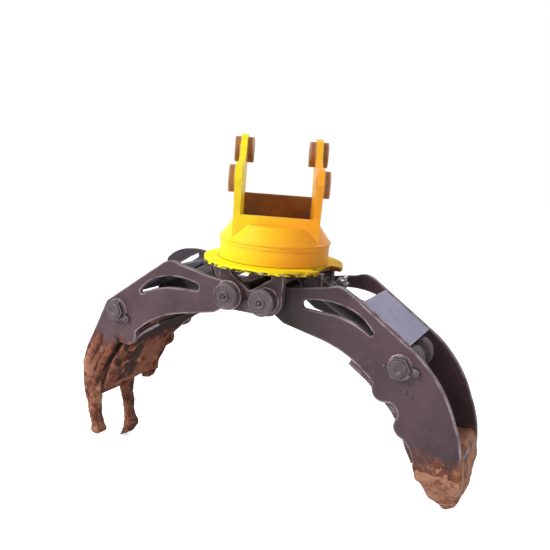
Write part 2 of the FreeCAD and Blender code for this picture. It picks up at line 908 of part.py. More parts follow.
def build_webs():
    back = size("web_thickness")
    right = padded("jaw_right_inner_web", "XZ_Plane",
                   inner_web_outline((768, -735), (768 + back, -735)), [],
                   f"{2 * narrow_inner} mm", start=narrow_inner)
    place_turning(right)
    left_plate = padded("left_web_whole", "XZ_Plane",
                        mirrored(inner_web_outline((752, -738), (752 + back, -738))), [],
                        "sizes.wide_plate_inner * 2", start=size("wide_plate_inner"))
    windows = [cylinder("left_web_window_near", "sizes.web_thickness * 2.6", "400 mm",
                        (-500, -60, -300), (-0.7, 0, -0.7)),
               cylinder("left_web_window_far", "sizes.web_thickness * 2.6", "400 mm",
                        (-500, 85, -300), (-0.7, 0, -0.7))]
    place_turning(cut("jaw_left_inner_web", left_plate, group("left_web_windows", windows)))
    low_x, low_z = right_back["lower_arc"][1]
    foot_x, foot_z = right_back["foot"]
    lap = size("back_plate_lap")
    step = size("back_plate_step")
    back_right = [
        (low_x - step - back, low_z + lap),
        (low_x - step, low_z + lap),
        (low_x, low_z),
        (foot_x, foot_z),
        (foot_x - back, foot_z),
        (low_x - back, low_z),
    ]
    place_turning(padded("jaw_right_back_plate", "XZ_Plane", back_right, [],
                         f"{2 * narrow_inner} mm", start=narrow_inner))
    half = size("finger_inner") + size("finger_width")
    back_left = [
        ridge_top,
        ridge_upper_arc,
        ridge_lower_arc,
        shifted(ridge_lower_arc[1], -back),
        (shifted(ridge_lower_arc[0], -back), shifted(ridge_upper_arc[1], -back)),
        (shifted(ridge_upper_arc[0], -back), shifted(ridge_top, -back)),
    ]
    place_turning(padded("jaw_left_back_plate", "XZ_Plane", mirrored(back_left), [],
                         f"{2 * half} mm", start=half))


def shifted(point, step):
    """The point moved along X."""
    return (point[0] + step, point[1])


def lofted(label, sections):
    """Straight-sided solid through flat sections, each a distance across and its corner points."""
    wires = []
    for across_y, corners in sections:
        points = [FreeCAD.Vector(point[0], across_y, point[1]) for point in corners]
        wires.append(Part.makePolygon(points + points[:1]))
    solid = doc.addObject("Part::Feature", label)
    solid.Shape = Part.makeLoft(wires, True, True)
    return solid


def build_flanks():
    """Slanting walls of the wide jaw, from its side plates in to the back plate."""
    back = size("web_thickness")
    wide_edge = [(795, -465), (833, -548), (843, -640), (838, -738)]
    ridge_edge = [(846, -474), (888, -556), (909, -665), (905, -765)]
    sections = []
    for across_y, edge in ((-size("wide_plate_inner"), wide_edge),
                           (-size("finger_inner") - size("finger_width"), ridge_edge)):
        inside = [shifted(point, -back) for point in reversed(edge)]
        sections.append((across_y, mirrored(edge + inside)))
    place_turning(near_and_far("jaw_left_flanks", [lofted("left_flank_near", sections)]))


def back_line(back, x):
    """Point on the straight top edge of a side plate, at the distance x from the slewing axis."""
    corner = back["corner"]
    slope = (corner[1] - peak_end[1]) / (corner[0] - peak_end[0])
    return (x, peak_end[1] + slope * (x - peak_end[0]))


def cover_outline(back):
    """Flat cover between the side plates, flush with their sloping top edge."""
    start = back_line(back, size("cover_start"))
    end = back_line(back, size("cover_end"))
    slope = math.atan2(end[1] - start[1], end[0] - start[0])
    down = (size("cover_thickness") * math.sin(slope), -size("cover_thickness") * math.cos(slope))
    return [
        start,
        end,
        (end[0] + down[0], end[1] + down[1]),
        (start[0] + down[0], start[1] + down[1]),
    ]


def build_covers():
    place_turning(padded("jaw_right_cover", "XZ_Plane", cover_outline(right_back), [],
                         f"{2 * narrow_inner} mm", start=narrow_inner))
    place_turning(padded("jaw_left_cover", "XZ_Plane", mirrored(cover_outline(left_back)), [],
                         "sizes.wide_plate_inner * 2", start=size("wide_plate_inner")))


def build_hose_guard():
    """Humped guard plate on the far side of the wide jaw's cover, with a window."""
    above = size("guard_clearance")
    foot_start = back_line(left_back, size("cover_start"))
    foot_end = back_line(left_back, size("cover_end"))
    hump = [
        (foot_end[0], foot_end[1] + above),
        ((692, -196), (690, -134)),
        ((636, -91), (557, -69)),
        ((495, -66), (440, -76)),
        (430, -110),
        (foot_start[0] - 6, foot_start[1] - 24),
        (foot_start[0] - 6, foot_start[1] + above),
        (foot_start[0], foot_start[1] + above),
    ]
    window = [
        (508, -84),
        (557, -110),
        (618, -151),
        (606, -163),
        (556, -138),
        (506, -104),
    ]
    thickness = "sizes.guard_thickness"
    start = size("wide_plate_inner")
    plate = across("guard_whole", mirrored(hump), [], start, thickness)
    opening = across("guard_window", mirrored(window), [], start + 5, f"{thickness} + 10")
    place_turning(cut("jaw_left_hose_guard", plate, opening))


def build_tine():
    """Box tine of the narrow jaw: its sides draw in to the tip."""
    tip = size("tine_tip_half_width")
    sections = []
    for half_width, inner, outer in ((narrow_outer, (755, -735), right_back["foot"]),
                                     (0.5 * (narrow_outer + tip), (795, -830), (920, -826)),
                                     (tip, (862, -912), (896, -892))):
        sections.append([(inner, -half_width), (outer, -half_width), (outer, half_width),
                         (inner, half_width)])
    wires = []
    for corners in sections:
        points = [FreeCAD.Vector(point[0], across_y, point[1]) for point, across_y in corners]
        wires.append(Part.makePolygon(points + points[:1]))
    tine = doc.addObject("Part::Feature", "jaw_right_tine")
    tine.Shape = Part.makeLoft(wires, True, True)
    place_turning(tine)


def finger_outline(worn):
    """Finger of the wide jaw; the far one ends in a pointed tip, the near one is worn round."""
    back = size("web_thickness")
    upper = [
        shifted(ridge_top, -back),
        (shifted(ridge_upper_arc[0], -back), shifted(ridge_upper_arc[1], -back)),
        (shifted(ridge_lower_arc[0], -back), shifted(ridge_lower_arc[1], -back)),
        ridge_lower_arc[1],
        ((877, -895), (858, -960)),
    ]
    if worn:
        end = [((832, -1003), (806, -988)), ((812, -975), (820, -960))]
    else:
        end = [
            (851, -1022),
            (862, -1072),
            (884, -1117),
            (831, -1088),
            (797, -1046),
            (800, -1022),
            (824, -990),
        ]
    lower = [
        ((836, -880), (838, -800)),
        ((832, -680), (ridge_top[0] - back - 45, ridge_top[1] - 20)),
    ]
    return upper + end + lower


def build_fingers():
    inner = size("finger_inner")
    width = size("finger_width")
    near = padded("jaw_left_finger_near", "XZ_Plane", mirrored(finger_outline(True)), [],
                  "sizes.finger_width", start=-inner)
    far = padded("jaw_left_finger_far", "XZ_Plane", mirrored(finger_outline(False)), [],
                 "sizes.finger_width", start=inner + width)
    place_turning(near)
    place_turning(far)


def build_hubs():
    centre = (pivot_x, pivot_z)
    bore = "sizes.pivot_pin_radius + sizes.running_clearance"
    tube = padded("jaw_right_hub", "XZ_Plane", None,
                  [(centre, "sizes.hub_radius"), (centre, "sizes.bush_outer_radius")],
                  f"{2 * narrow_inner} mm", start=narrow_inner)
    place_turning(tube)
    bush = across("right_bush_near", None,
                  [(centre, "sizes.bush_outer_radius"), (centre, bore)],
                  -narrow_outer + size("bush_length"), "sizes.bush_length")
    place_turning(near_and_far("jaw_right_bushes", [bush]))
    left = (-pivot_x, pivot_z)
    bush_length = size("wide_plate_thickness") + size("hub_ring_height")
    left_bush = across("left_bush_near", None,
                       [(left, "sizes.bush_outer_radius"), (left, bore)],
                       -size("wide_plate_inner"), f"{bush_length} mm")
    place_turning(near_and_far("jaw_left_bushes", [left_bush]))
    ring = across("left_ring_near", None,
                  [(left, "sizes.hub_ring_radius"), (left, "sizes.bush_outer_radius")],
                  -wide_outer, "sizes.hub_ring_height")
    place_turning(near_and_far("jaw_left_hub_rings", [ring]))


def build_rod_pins():
    for name, side, inner, outer in (("right", 1, narrow_inner, narrow_outer),
                                     ("left", -1, size("wide_plate_inner"), wide_outer)):
        centre = (side * rod_pin[0], rod_pin[1])
        half = outer + size("rod_pin_boss_height")
        pin = across(f"jaw_{name}_rod_pin", None, [(centre, "sizes.rod_pin_radius")],
                     half, f"{2 * half} mm")
        place_turning(pin)
        boss = across(f"{name}_rod_boss", None,
                      [(centre, "sizes.rod_pin_boss_radius"), (centre, "sizes.rod_pin_radius")],
                      -outer, "sizes.rod_pin_boss_height")
        spacer_start = size("rod_eye_half_width") + 1
        spacer = across(f"{name}_eye_spacer", None,
                        [(centre, "sizes.eye_spacer_radius"), (centre, "sizes.rod_pin_radius")],
                        -spacer_start, f"{inner - spacer_start} mm")
        place_turning(near_and_far(f"jaw_{name}_pin_collars", [boss, spacer]))
        cap = doc.addObject("Part::Prism", f"{name}_pin_cap_near")
        cap.Polygon = 6
        cap.setExpression("Circumradius", "sizes.rod_pin_cap_radius")
        cap.setExpression("Height", "sizes.rod_pin_cap_height")
        cap.Placement = FreeCAD.Placement(
            FreeCAD.Vector(centre[0], -half, centre[1]),
            FreeCAD.Rotation(FreeCAD.Vector(0, 0, 1), FreeCAD.Vector(0, -1, 0)))
        place_turning(near_and_far(f"jaw_{name}_pin_caps", [cap]))


# Cylinders

def along(side, distance, lift=0.0):
    """Point on the cylinder axis, measured from the base pin to the rod pin, in X and Z."""
    run = (rod_pin[0] - base_pin[0], rod_pin[1] - base_pin[1])
    length = math.hypot(*run)
    unit = (run[0] / length, run[1] / length)
    x = base_pin[0] + unit[0] * distance - unit[1] * lift
    z = base_pin[1] + unit[1] * distance + unit[0] * lift
    return (side * x, z)


def axis_direction(side):
    """Way from the base pin to the rod pin."""
    start = along(side, 0)
    end = along(side, 1)
    return (end[0] - start[0], 0, end[1] - start[1])


def bar_on_axis(label, side, radius, start, length):
    """Round bar that lies on the cylinder axis."""
    point = along(side, start)
    return cylinder(label, radius, f"{length} mm", (point[0], 0, point[1]), axis_direction(side))


def build_cylinders():
    pin_distance = math.hypot(rod_pin[0] - base_pin[0], rod_pin[1] - base_pin[1])
    start = size("barrel_start")
    gland_end = start + size("barrel_length")
    tube_length = size("barrel_length") - size("gland_width")
    piston_start = pin_distance - size("rod_length")
    for name, side in (("right", 1), ("left", -1)):
        eye_half = size("rod_eye_half_width")
        eye = across(f"{name}_rod_eye", None, [((side * rod_pin[0], rod_pin[1]), "sizes.rod_eye_radius")],
                     eye_half, f"{2 * eye_half} mm")
        shaft = bar_on_axis(f"{name}_rod_bar", side, "sizes.rod_radius", piston_start,
                            size("rod_length"))
        blank = fuse(f"{name}_rod_blank", [eye, shaft])
        bore = across(f"{name}_rod_bore", None,
                      [((side * rod_pin[0], rod_pin[1]),
                        "sizes.rod_pin_radius + sizes.running_clearance")],
                      eye_half + 5, f"{2 * eye_half + 10} mm")
        rod = cut(f"{name}_rod_bored", blank, bore)
        disc = bar_on_axis(f"{name}_piston_disc", side,
                           "sizes.barrel_bore_radius - sizes.running_clearance",
                           piston_start, size("piston_width"))
        hole = bar_on_axis(f"{name}_piston_hole", side, "sizes.rod_radius",
                           piston_start - 5, size("piston_width") + 10)
        piston = cut(f"{name}_piston", disc, hole)
        place_turning(group(f"cylinder_{name}_rod", [rod, piston]))

        tube = bar_on_axis(f"{name}_tube", side, "sizes.barrel_radius", start, tube_length)
        base_half = size("base_eye_half_width")
        base_eye = across(f"{name}_base_eye", None,
                          [((side * base_pin[0], base_pin[1]), "sizes.base_eye_radius")],
                          base_half, f"{2 * base_half} mm")
        neck = box(f"{name}_base_neck", (0, -base_half, -0.8 * size("base_eye_radius")),
                   (start + 1, 2 * base_half, 1.6 * size("base_eye_radius")))
        heading = math.degrees(math.atan2(axis_direction(side)[2], axis_direction(side)[0]))
        neck_turn = FreeCAD.Rotation(FreeCAD.Vector(0, -1, 0), heading)
        neck.Placement = FreeCAD.Placement(
            FreeCAD.Vector(side * base_pin[0], 0, base_pin[1]), neck_turn).multiply(neck.Placement)
        whole = fuse(f"{name}_barrel_whole", [tube, base_eye, neck])
        inside = bar_on_axis(f"{name}_tube_bore", side, "sizes.barrel_bore_radius",
                             start + size("barrel_floor"), tube_length)
        pin_hole = across(f"{name}_base_bore", None,
                          [((side * base_pin[0], base_pin[1]),
                            "sizes.base_pin_radius + sizes.base_pivot_clearance")],
                          base_half + 5, f"{2 * base_half + 10} mm")
        place_turning(cut(f"cylinder_{name}_barrel", whole,
                          group(f"{name}_barrel_cuts", [inside, pin_hole])))

        gland_start = gland_end - size("gland_width")
        gland_disc = bar_on_axis(f"{name}_gland_disc", side, "sizes.barrel_radius + 4",
                                 gland_start, size("gland_width"))
        gland_hole = bar_on_axis(f"{name}_gland_hole", side,
                                 "sizes.rod_radius + sizes.running_clearance",
                                 gland_start - 5, size("gland_width") + 10)
        place_turning(cut(f"cylinder_{name}_gland", gland_disc, gland_hole))

        width = size("port_block_width")
        block = box(f"{name}_port_blank", (start + 4, -width / 2, 0),
                    (width, width, size("barrel_radius") + size("port_block_height")))
        if side < 0:
            block.Placement.Base.z = -size("barrel_radius") - size("port_block_height")
        block.Placement = FreeCAD.Placement(
            FreeCAD.Vector(side * base_pin[0], 0, base_pin[1]), neck_turn).multiply(block.Placement)
        trim = bar_on_axis(f"{name}_port_trim", side, "sizes.barrel_radius", start - 20, tube_length)
        place_turning(cut(f"cylinder_{name}_ports", block, trim))


# Build, check and write

def write_parts():
    """Check every object, then write one file per sub-part."""
    doc.recompute()
    for item in doc.Objects:
        if "Invalid" in item.State or "Error" in item.State:
            raise RuntimeError(f"{item.Label} failed: {item.State}")
    for part in finished:
        if part.Shape.isNull() or not part.Shape.isValid():
            raise RuntimeError(f"{part.Label} has no valid shape")
    os.makedirs("parts", exist_ok=True)
    for part in finished:
        part.Shape.exportStep(f"parts/{part.Label}.step")
        print(part.Label, len(part.Shape.Solids), round(part.Shape.Volume / 1000), "cm3")


build_head_drum()
build_ears()
build_collars()
build_cross_plates()
build_ring_plate()
build_outer_race()
build_inner_race()
build_race_bolts()
build_balls()
build_drive()
build_rotary_joint()
build_flange()
build_frame_plates()
build_frame_cross_plates()
build_spacer()
build_lugs()
build_pivot_pins()
build_jaw_sides()
build_webs()
build_flanks()
build_covers()
build_hose_guard()
build_tine()
build_fingers()
build_hubs()
build_rod_pins()
build_cylinders()
write_parts()
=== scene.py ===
# %% [markdown]
# # A rotating claw grapple, dressed around its imported model
# The imported model gives every steel piece in its true place. This notebook gives those pieces their
# paint, wear, rust and dry earth, adds welds, bolts and caked earth, and sets up camera and light.
# Read it from top to bottom: each cell uses what the cells before it have defined.

# %% [markdown]
# ## 1. Load the imported model
# They could be drawn again by hand, but then the joints would no longer fit. The box around them is
# kept, to hold the caked earth inside it and to set the floor beneath it.

import json
import math

import bmesh
import bpy
from mathutils import Matrix, Vector, noise


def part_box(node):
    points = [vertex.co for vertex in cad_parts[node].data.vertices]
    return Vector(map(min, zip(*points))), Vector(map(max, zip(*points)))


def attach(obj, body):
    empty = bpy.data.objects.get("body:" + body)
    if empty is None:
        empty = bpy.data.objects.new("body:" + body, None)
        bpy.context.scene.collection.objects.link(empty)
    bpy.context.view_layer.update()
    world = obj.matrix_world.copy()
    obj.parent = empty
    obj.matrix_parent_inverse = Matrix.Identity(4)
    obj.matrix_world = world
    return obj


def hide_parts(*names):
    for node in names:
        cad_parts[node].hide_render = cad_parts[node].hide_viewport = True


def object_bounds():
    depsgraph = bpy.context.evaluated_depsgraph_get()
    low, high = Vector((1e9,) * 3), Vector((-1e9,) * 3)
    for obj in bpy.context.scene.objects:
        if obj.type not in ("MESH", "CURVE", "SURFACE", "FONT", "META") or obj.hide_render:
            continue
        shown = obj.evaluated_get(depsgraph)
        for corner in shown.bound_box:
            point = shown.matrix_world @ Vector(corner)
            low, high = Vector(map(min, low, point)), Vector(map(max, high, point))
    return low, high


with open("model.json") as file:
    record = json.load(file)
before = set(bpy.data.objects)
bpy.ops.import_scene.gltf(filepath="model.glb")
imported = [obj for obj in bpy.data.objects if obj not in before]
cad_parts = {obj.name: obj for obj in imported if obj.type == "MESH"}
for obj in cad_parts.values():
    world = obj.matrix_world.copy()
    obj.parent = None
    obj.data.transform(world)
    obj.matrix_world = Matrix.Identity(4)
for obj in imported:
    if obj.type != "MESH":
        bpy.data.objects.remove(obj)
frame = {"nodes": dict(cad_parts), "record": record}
NODES = frame["nodes"]
cad_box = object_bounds()

# %% [markdown]
# ## 2. Places that later cells share
# Heights and reaches are in metres from the slewing axis, as in the part's drawing, so one shift
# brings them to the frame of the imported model. The two sides of the grapple mirror each other, so
# each place is written once, and the loops below turn its sign for the other side.

# %% Shared places
SLEW_AXIS = Vector((0.06137, -0.12583, -0.437))
PIVOT = (0.083, -0.153)
ROD_PIN = (0.651, -0.317)
PLATE_FACE = {"right": 0.175, "left": 0.230}
PLATE_INNER = {"right": 0.155, "left": 0.208}
CAP_FACE = 0.266
SIDE = {"right": 1, "left": -1}


def turning(x, y, z):
    """Point of the frame and jaws, given from the slewing axis."""
    return SLEW_AXIS + Vector((x, y, z))


print("slewing axis at", [round(value, 4) for value in SLEW_AXIS])

# %% [markdown]
# ## 3. Camera
# The camera stands a little above the flange and looks slightly down. A camera can be placed by eye,
# but here its yaw, pitch, roll and lens come from fitting known points of the object, so that every
# edge falls where it should. The small shifts move the frame without changing the perspective.

# %% Camera
YAW, PITCH, ROLL = math.radians(25.75), math.radians(11.48), math.radians(-4.45)
forward = Vector((-math.sin(YAW) * math.cos(PITCH), math.cos(YAW) * math.cos(PITCH), -math.sin(PITCH)))
level = Vector((math.cos(YAW), math.sin(YAW), 0))
down = forward.cross(level)
image_right = math.cos(ROLL) * level + math.sin(ROLL) * down
image_down = -math.sin(ROLL) * level + math.cos(ROLL) * down

camera_data = bpy.data.cameras.new("camera")
camera_data.sensor_width = 36
camera_data.lens = 43.66
camera_data.shift_x, camera_data.shift_y = 0.002, 0.007
CAMERA_PLACE = (1.3072, -2.6902, 0.0369)
camera = bpy.data.objects.new("camera", camera_data)
bpy.context.scene.collection.objects.link(camera)
camera.matrix_world = Matrix.Translation(CAMERA_PLACE) @ Matrix(
    (image_right, -image_down, -forward)).transposed().to_4x4()
bpy.context.scene.camera = camera
print("camera lens", camera_data.lens, "mm")

# %% [markdown]
# ## 4. A small kit for materials
# A shader is a graph of nodes, and wiring it by hand soon fills pages. This class makes the few nodes
# that all the recipes share: cloudy noise, a range, a sum, a mix, worn edges and dark corners. Noise
# is read in the piece's own coordinates, so it stays on the piece when the piece moves.


# %% Material kit
class Recipe:
    """Builds one material's nodes."""

    def __init__(self, name):
        self.material = bpy.data.materials.new(name)
        self.material.use_nodes = True
        self.tree = self.material.node_tree
        self.shader = self.tree.nodes["Principled BSDF"]
        self.place = self.add("ShaderNodeTexCoord").outputs["Object"]
        self.geometry = self.add("ShaderNodeNewGeometry")

    def add(self, kind, **settings):
        node = self.tree.nodes.new(kind)
        for key, value in settings.items():
            setattr(node, key, value)
        return node

    def feed(self, socket, value):
        """Link an output, or set a plain number or colour."""
        if isinstance(value, bpy.types.NodeSocket):
            self.tree.links.new(value, socket)
        elif hasattr(value, "__len__") and len(value) == 3 and len(socket.default_value) == 4:
            socket.default_value = (*value, 1)
        else:
            socket.default_value = value

    def grain(self, scale, detail=4.0, rough=0.55, stretch=(1, 1, 1), warp=0.0):
        """Cloudy noise from 0 to 1, with `scale` clouds in a metre."""
        mapping = self.add("ShaderNodeMapping")
        self.feed(mapping.inputs["Vector"], self.place)
        mapping.inputs["Scale"].default_value = stretch
        cloud = self.add("ShaderNodeTexNoise")
        self.feed(cloud.inputs["Vector"], mapping.outputs["Vector"])
        cloud.inputs["Scale"].default_value = scale
        cloud.inputs["Detail"].default_value = detail
        cloud.inputs["Roughness"].default_value = rough
        cloud.inputs["Distortion"].default_value = warp
        return cloud.outputs["Fac"]

    def span(self, value, low, high, out_low=0.0, out_high=1.0):
        """Map value from low..high to out_low..out_high, kept within them."""
        node = self.add("ShaderNodeMapRange", clamp=True)
        for key, item in (("Value", value), ("From Min", low), ("From Max", high),
                          ("To Min", out_low), ("To Max", out_high)):
            self.feed(node.inputs[key], item)
        return node.outputs["Result"]

    def calc(self, operation, first, second=0.0):
        node = self.add("ShaderNodeMath", operation=operation, use_clamp=True)
        self.feed(node.inputs[0], first)
        self.feed(node.inputs[1], second)
        return node.outputs[0]

    def mix(self, share, first, second):
        """Colour between first (share 0) and second (share 1)."""
        node = self.add("ShaderNodeMix", data_type="RGBA")
        self.feed(node.inputs["Factor"], share)
        self.feed(node.inputs[6], first)
        self.feed(node.inputs[7], second)
        return node.outputs[2]

    def along(self, axis):
        """The piece's own coordinate along X, Y or Z, in metres."""
        parts = self.add("ShaderNodeSeparateXYZ")
        self.feed(parts.inputs[0], self.place)
        return parts.outputs[axis]

    def edge(self, radius, strength=3.0):
        """1 along sharp edges, 0 on flat faces."""
        rounded = self.add("ShaderNodeBevel", samples=4)
        rounded.inputs["Radius"].default_value = radius
        dot = self.add("ShaderNodeVectorMath", operation="DOT_PRODUCT")
        self.feed(dot.inputs[0], rounded.outputs["Normal"])
        self.feed(dot.inputs[1], self.geometry.outputs["Normal"])
        away = self.calc("SUBTRACT", 1.0, dot.outputs["Value"])
        return self.calc("MULTIPLY", away, strength)

    def corner(self, distance):
        """1 deep in corners, 0 in the open."""
        hidden = self.add("ShaderNodeAmbientOcclusion", samples=4)
        hidden.inputs["Distance"].default_value = distance
        return self.calc("SUBTRACT", 1.0, hidden.outputs["AO"])

    def bump(self, relief, depth, strength=1.0):
        node = self.add("ShaderNodeBump")
        node.inputs["Strength"].default_value = strength
        node.inputs["Distance"].default_value = depth
        self.feed(node.inputs["Height"], relief)
        self.feed(self.shader.inputs["Normal"], node.outputs["Normal"])

    def finish(self, colour, rough, metal=0.0):
        self.feed(self.shader.inputs["Base Color"], colour)
        self.feed(self.shader.inputs["Roughness"], rough)
        self.feed(self.shader.inputs["Metallic"], metal)
        return self.material


print("material kit ready")

# %% [markdown]
# ## 5. Rust and earth colours
# The same rust and the same dry earth lie on many pieces, so their colours are written once. Earth is
# never one brown: dark where it is damp, red-brown where it is dry, tan where it has been rubbed.

# %% Rust and earth colours
EARTH_DARK = (0.090, 0.026, 0.014)
EARTH_MID = (0.245, 0.080, 0.043)
EARTH_PALE = (0.56, 0.285, 0.18)
RUST = (0.24, 0.075, 0.022)


def earth_colour(recipe, pale=0.55):
    """Dry red-brown earth with tan patches and a painted shade in its hollows; pale is where tan begins."""
    base = recipe.mix(recipe.span(recipe.grain(11, 6), 0.38, 0.62), EARTH_DARK, EARTH_MID)
    speck = recipe.span(recipe.grain(30, 8, 0.7), pale - 0.04, pale + 0.16)
    base = recipe.mix(speck, base, EARTH_PALE)
    # Painted shade: corners and hollows turn almost black.
    return recipe.mix(recipe.span(recipe.corner(0.05), 0.2, 0.8, 0, 0.8), base, (0.035, 0.012, 0.008))


print("earth colours ready")

# %% [markdown]
# ### Worn paint
# Real paint on such a machine is never one colour: it fades in clouds, rubs off along edges, rusts
# beside them and holds dust in its corners, and dry earth cakes the low ends. One recipe serves every
# painted piece, since the same things happen to all of them, only more or less.


# %% Worn paint
def worn_paint(name, light, dark, bare, edge_wear=0.6, rust=0.3, dust=0.25, gloss=0.42,
               earth=None, dirt=(0.16, 0.105, 0.095), painted_side_shade=None, painted_hub_shadow=None, inner=None, shine=0.35):
    """Painted steel; earth is (height where it starts, height where it covers all).

    The hub shadow is the (X where the painted shadow beside the hub is darkest, X where it ends),
    and inner the reach of the faces between the plates from the slewing axis, which get a painted shade."""
    recipe = Recipe(name)
    clouds = recipe.grain(4.5, 5, 0.6)
    colour = recipe.mix(recipe.span(clouds, 0.38, 0.66), light, dark)
    # Painted shade: the paint fades to orange towards its right, the side away from the key lamp.
    if painted_side_shade:
        shade, first, last = painted_side_shade
        colour = recipe.mix(recipe.span(recipe.along("X"), first, last), colour, shade)
    haze = recipe.grain(13, 7, 0.65, warp=0.6)
    colour = recipe.mix(recipe.span(haze, 0.5, 0.75, 0, 0.4 * dust + 0.1), colour, dirt)
    corners = recipe.corner(0.07)
    dusty = recipe.calc("MULTIPLY", recipe.span(corners, 0.15, 0.75, 0, 1),
                        recipe.span(recipe.grain(22, 6), 0.3, 0.7, 0, 2 * dust))
    colour = recipe.mix(dusty, colour, dirt)
    blotch = recipe.grain(30, 8, 0.7)
    rusty = recipe.calc("ADD", recipe.span(blotch, 0.68 - 0.12 * rust, 0.78, 0, rust),
                        recipe.calc("MULTIPLY", recipe.edge(0.018, 2.2),
                                    recipe.span(recipe.grain(26, 6), 0.42, 0.62, 0, rust * 1.6)))
    colour = recipe.mix(rusty, colour, RUST)
    rubbed = recipe.calc("MULTIPLY", recipe.edge(0.013, 5.0),
                         recipe.span(recipe.grain(19, 6, 0.6), 0.34, 0.55, 0, edge_wear))
    scratch = recipe.span(recipe.grain(9, 9, 0.75, stretch=(1, 1, 5), warp=1.2), 0.66, 0.72,
                          0, 0.35 * edge_wear)
    colour = recipe.mix(recipe.calc("MAXIMUM", rubbed, scratch), colour, bare)
    # Painted shadow: the plates turn almost black beside the hub, where the flange shades them.
    if painted_hub_shadow:
        hub_shadow_share = recipe.calc("MULTIPLY", recipe.span(recipe.along("X"), *painted_hub_shadow, 0.95, 0.0),
                           recipe.span(clouds, 0.2, 0.6, 1.0, 0.85))
        colour = recipe.mix(hub_shadow_share, colour, (0.020, 0.012, 0.012))
    # Painted shade: the faces between the plates are darkened almost to black, as they lie in shade.
    if inner:
        across = recipe.along("Y")
        far = recipe.span(across, SLEW_AXIS.y + inner, SLEW_AXIS.y + inner + 0.003)
        near = recipe.span(across, SLEW_AXIS.y - inner, SLEW_AXIS.y - inner - 0.003)
        hidden = recipe.calc("SUBTRACT", 0.72, recipe.calc("MAXIMUM", far, near))
        colour = recipe.mix(hidden, colour, (0.026, 0.013, 0.012))
    rough = recipe.span(recipe.grain(60, 4), 0.3, 0.7, gloss - 0.08, gloss + 0.12)
    rough = recipe.calc("ADD", rough, recipe.calc("MULTIPLY", rusty, 0.4))
    relief = recipe.calc("ADD", recipe.calc("MULTIPLY", recipe.grain(9, 3), 0.6),
                         recipe.calc("MULTIPLY", blotch, 0.25))
    depth = 0.005
    if earth:
        start, full = earth
        caked = recipe.span(recipe.along("Z"), start, full, 0, 1)
        patch = recipe.calc("ADD", recipe.calc("MULTIPLY", caked, 1.1),
                            recipe.span(recipe.grain(9, 8, 0.68, warp=0.8), 0.3, 0.72, 0, 0.75))
        patch = recipe.calc("MULTIPLY", recipe.span(patch, 0.62, 0.95), recipe.span(caked, 0.0, 0.12))
        colour = recipe.mix(patch, colour, earth_colour(recipe))
        rough = recipe.calc("ADD", rough, recipe.calc("MULTIPLY", patch, 0.45))
        relief = recipe.calc("ADD", relief, recipe.calc("MULTIPLY", patch, recipe.grain(45, 8, 0.7)))
        depth = 0.010
    recipe.bump(relief, depth, 0.6)
    metal = recipe.calc("MULTIPLY", rubbed, 0.4)
    recipe.shader.inputs["Specular IOR Level"].default_value = shine
    return recipe.finish(colour, rough, metal)


print("worn paint recipe ready")

# %% [markdown]
# ### The paints
# The head fades from lemon on its left to orange on its right, a painted shade away from the key lamp.
# The jaws are a purple grey; their side plates get a painted shadow beside the hub and painted shade on
# the faces between the plates, so they have their own paints. `earth` and the hub shadow are places in the
# imported model.

# %% The paints
# The orange stands for the yellow head's painted shade on its right, away from the key lamp.
LEMON, SHADED_ORANGE = (1.0, 0.92, 0.012), (1.0, 0.39, 0.006)
GREY_LIGHT, GREY_DARK = (0.102, 0.058, 0.072), (0.056, 0.032, 0.039)
GREY_BARE = (0.62, 0.52, 0.55)

yellow = worn_paint("yellow_paint", LEMON, (1.0, 0.80, 0.008), (0.80, 0.55, 0.16), edge_wear=0.2,
                    rust=0.16, dust=0.2, gloss=0.34, dirt=(0.52, 0.27, 0.04), painted_side_shade=(SHADED_ORANGE, -0.10, 0.24))
collar_rust = worn_paint("rusty_collar", (0.40, 0.15, 0.035), (0.17, 0.060, 0.028), (0.80, 0.66, 0.52),
                         edge_wear=0.9, rust=0.7, gloss=0.6)
GREYS = (GREY_LIGHT, GREY_DARK, GREY_BARE)
LEFT_WEAR = {"edge_wear": 0.8, "rust": 0.15, "earth": (-0.78, -1.12)}
# The right jaw's wear also carries a painted shadow beside the hub.
RIGHT_WEAR_AND_SHADOW = {"edge_wear": 1.0, "rust": 0.12, "earth": (-1.00, -1.28), "painted_hub_shadow": (0.27, 0.50)}
grey = worn_paint("grey_paint", *GREYS, edge_wear=0.8, rust=0.08)
grey_left = worn_paint("grey_paint_left_jaw", *GREYS, **LEFT_WEAR)
grey_right = worn_paint("grey_paint_right_jaw", *GREYS, **RIGHT_WEAR_AND_SHADOW)
side_left = worn_paint("grey_paint_left_sides", *GREYS, **LEFT_WEAR, inner=0.207)
side_right = worn_paint("grey_paint_right_sides", *GREYS, **RIGHT_WEAR_AND_SHADOW, inner=0.154)
# Painted shade: the left jaw's inner web and flanks are painted almost black, as they lie in shade.
shaded_web = worn_paint("shaded_inner_web", (0.040, 0.022, 0.020), (0.020, 0.012, 0.012), GREY_BARE,
                       edge_wear=0.3, rust=0.2, dust=0.1, gloss=0.85, earth=(-0.86, -1.10),
                       dirt=(0.05, 0.025, 0.02), shine=0.08)
cover = worn_paint("cover_paint", (0.34, 0.315, 0.46), (0.25, 0.23, 0.345), (0.5, 0.47, 0.5),
                   edge_wear=0.5, rust=0.06, gloss=0.5)
cylinder_paint = worn_paint("cylinder_paint", (0.045, 0.034, 0.042), (0.026, 0.020, 0.025),
                            (0.32, 0.29, 0.32), edge_wear=0.6, rust=0.15, dust=0.4)
print("paints mixed")
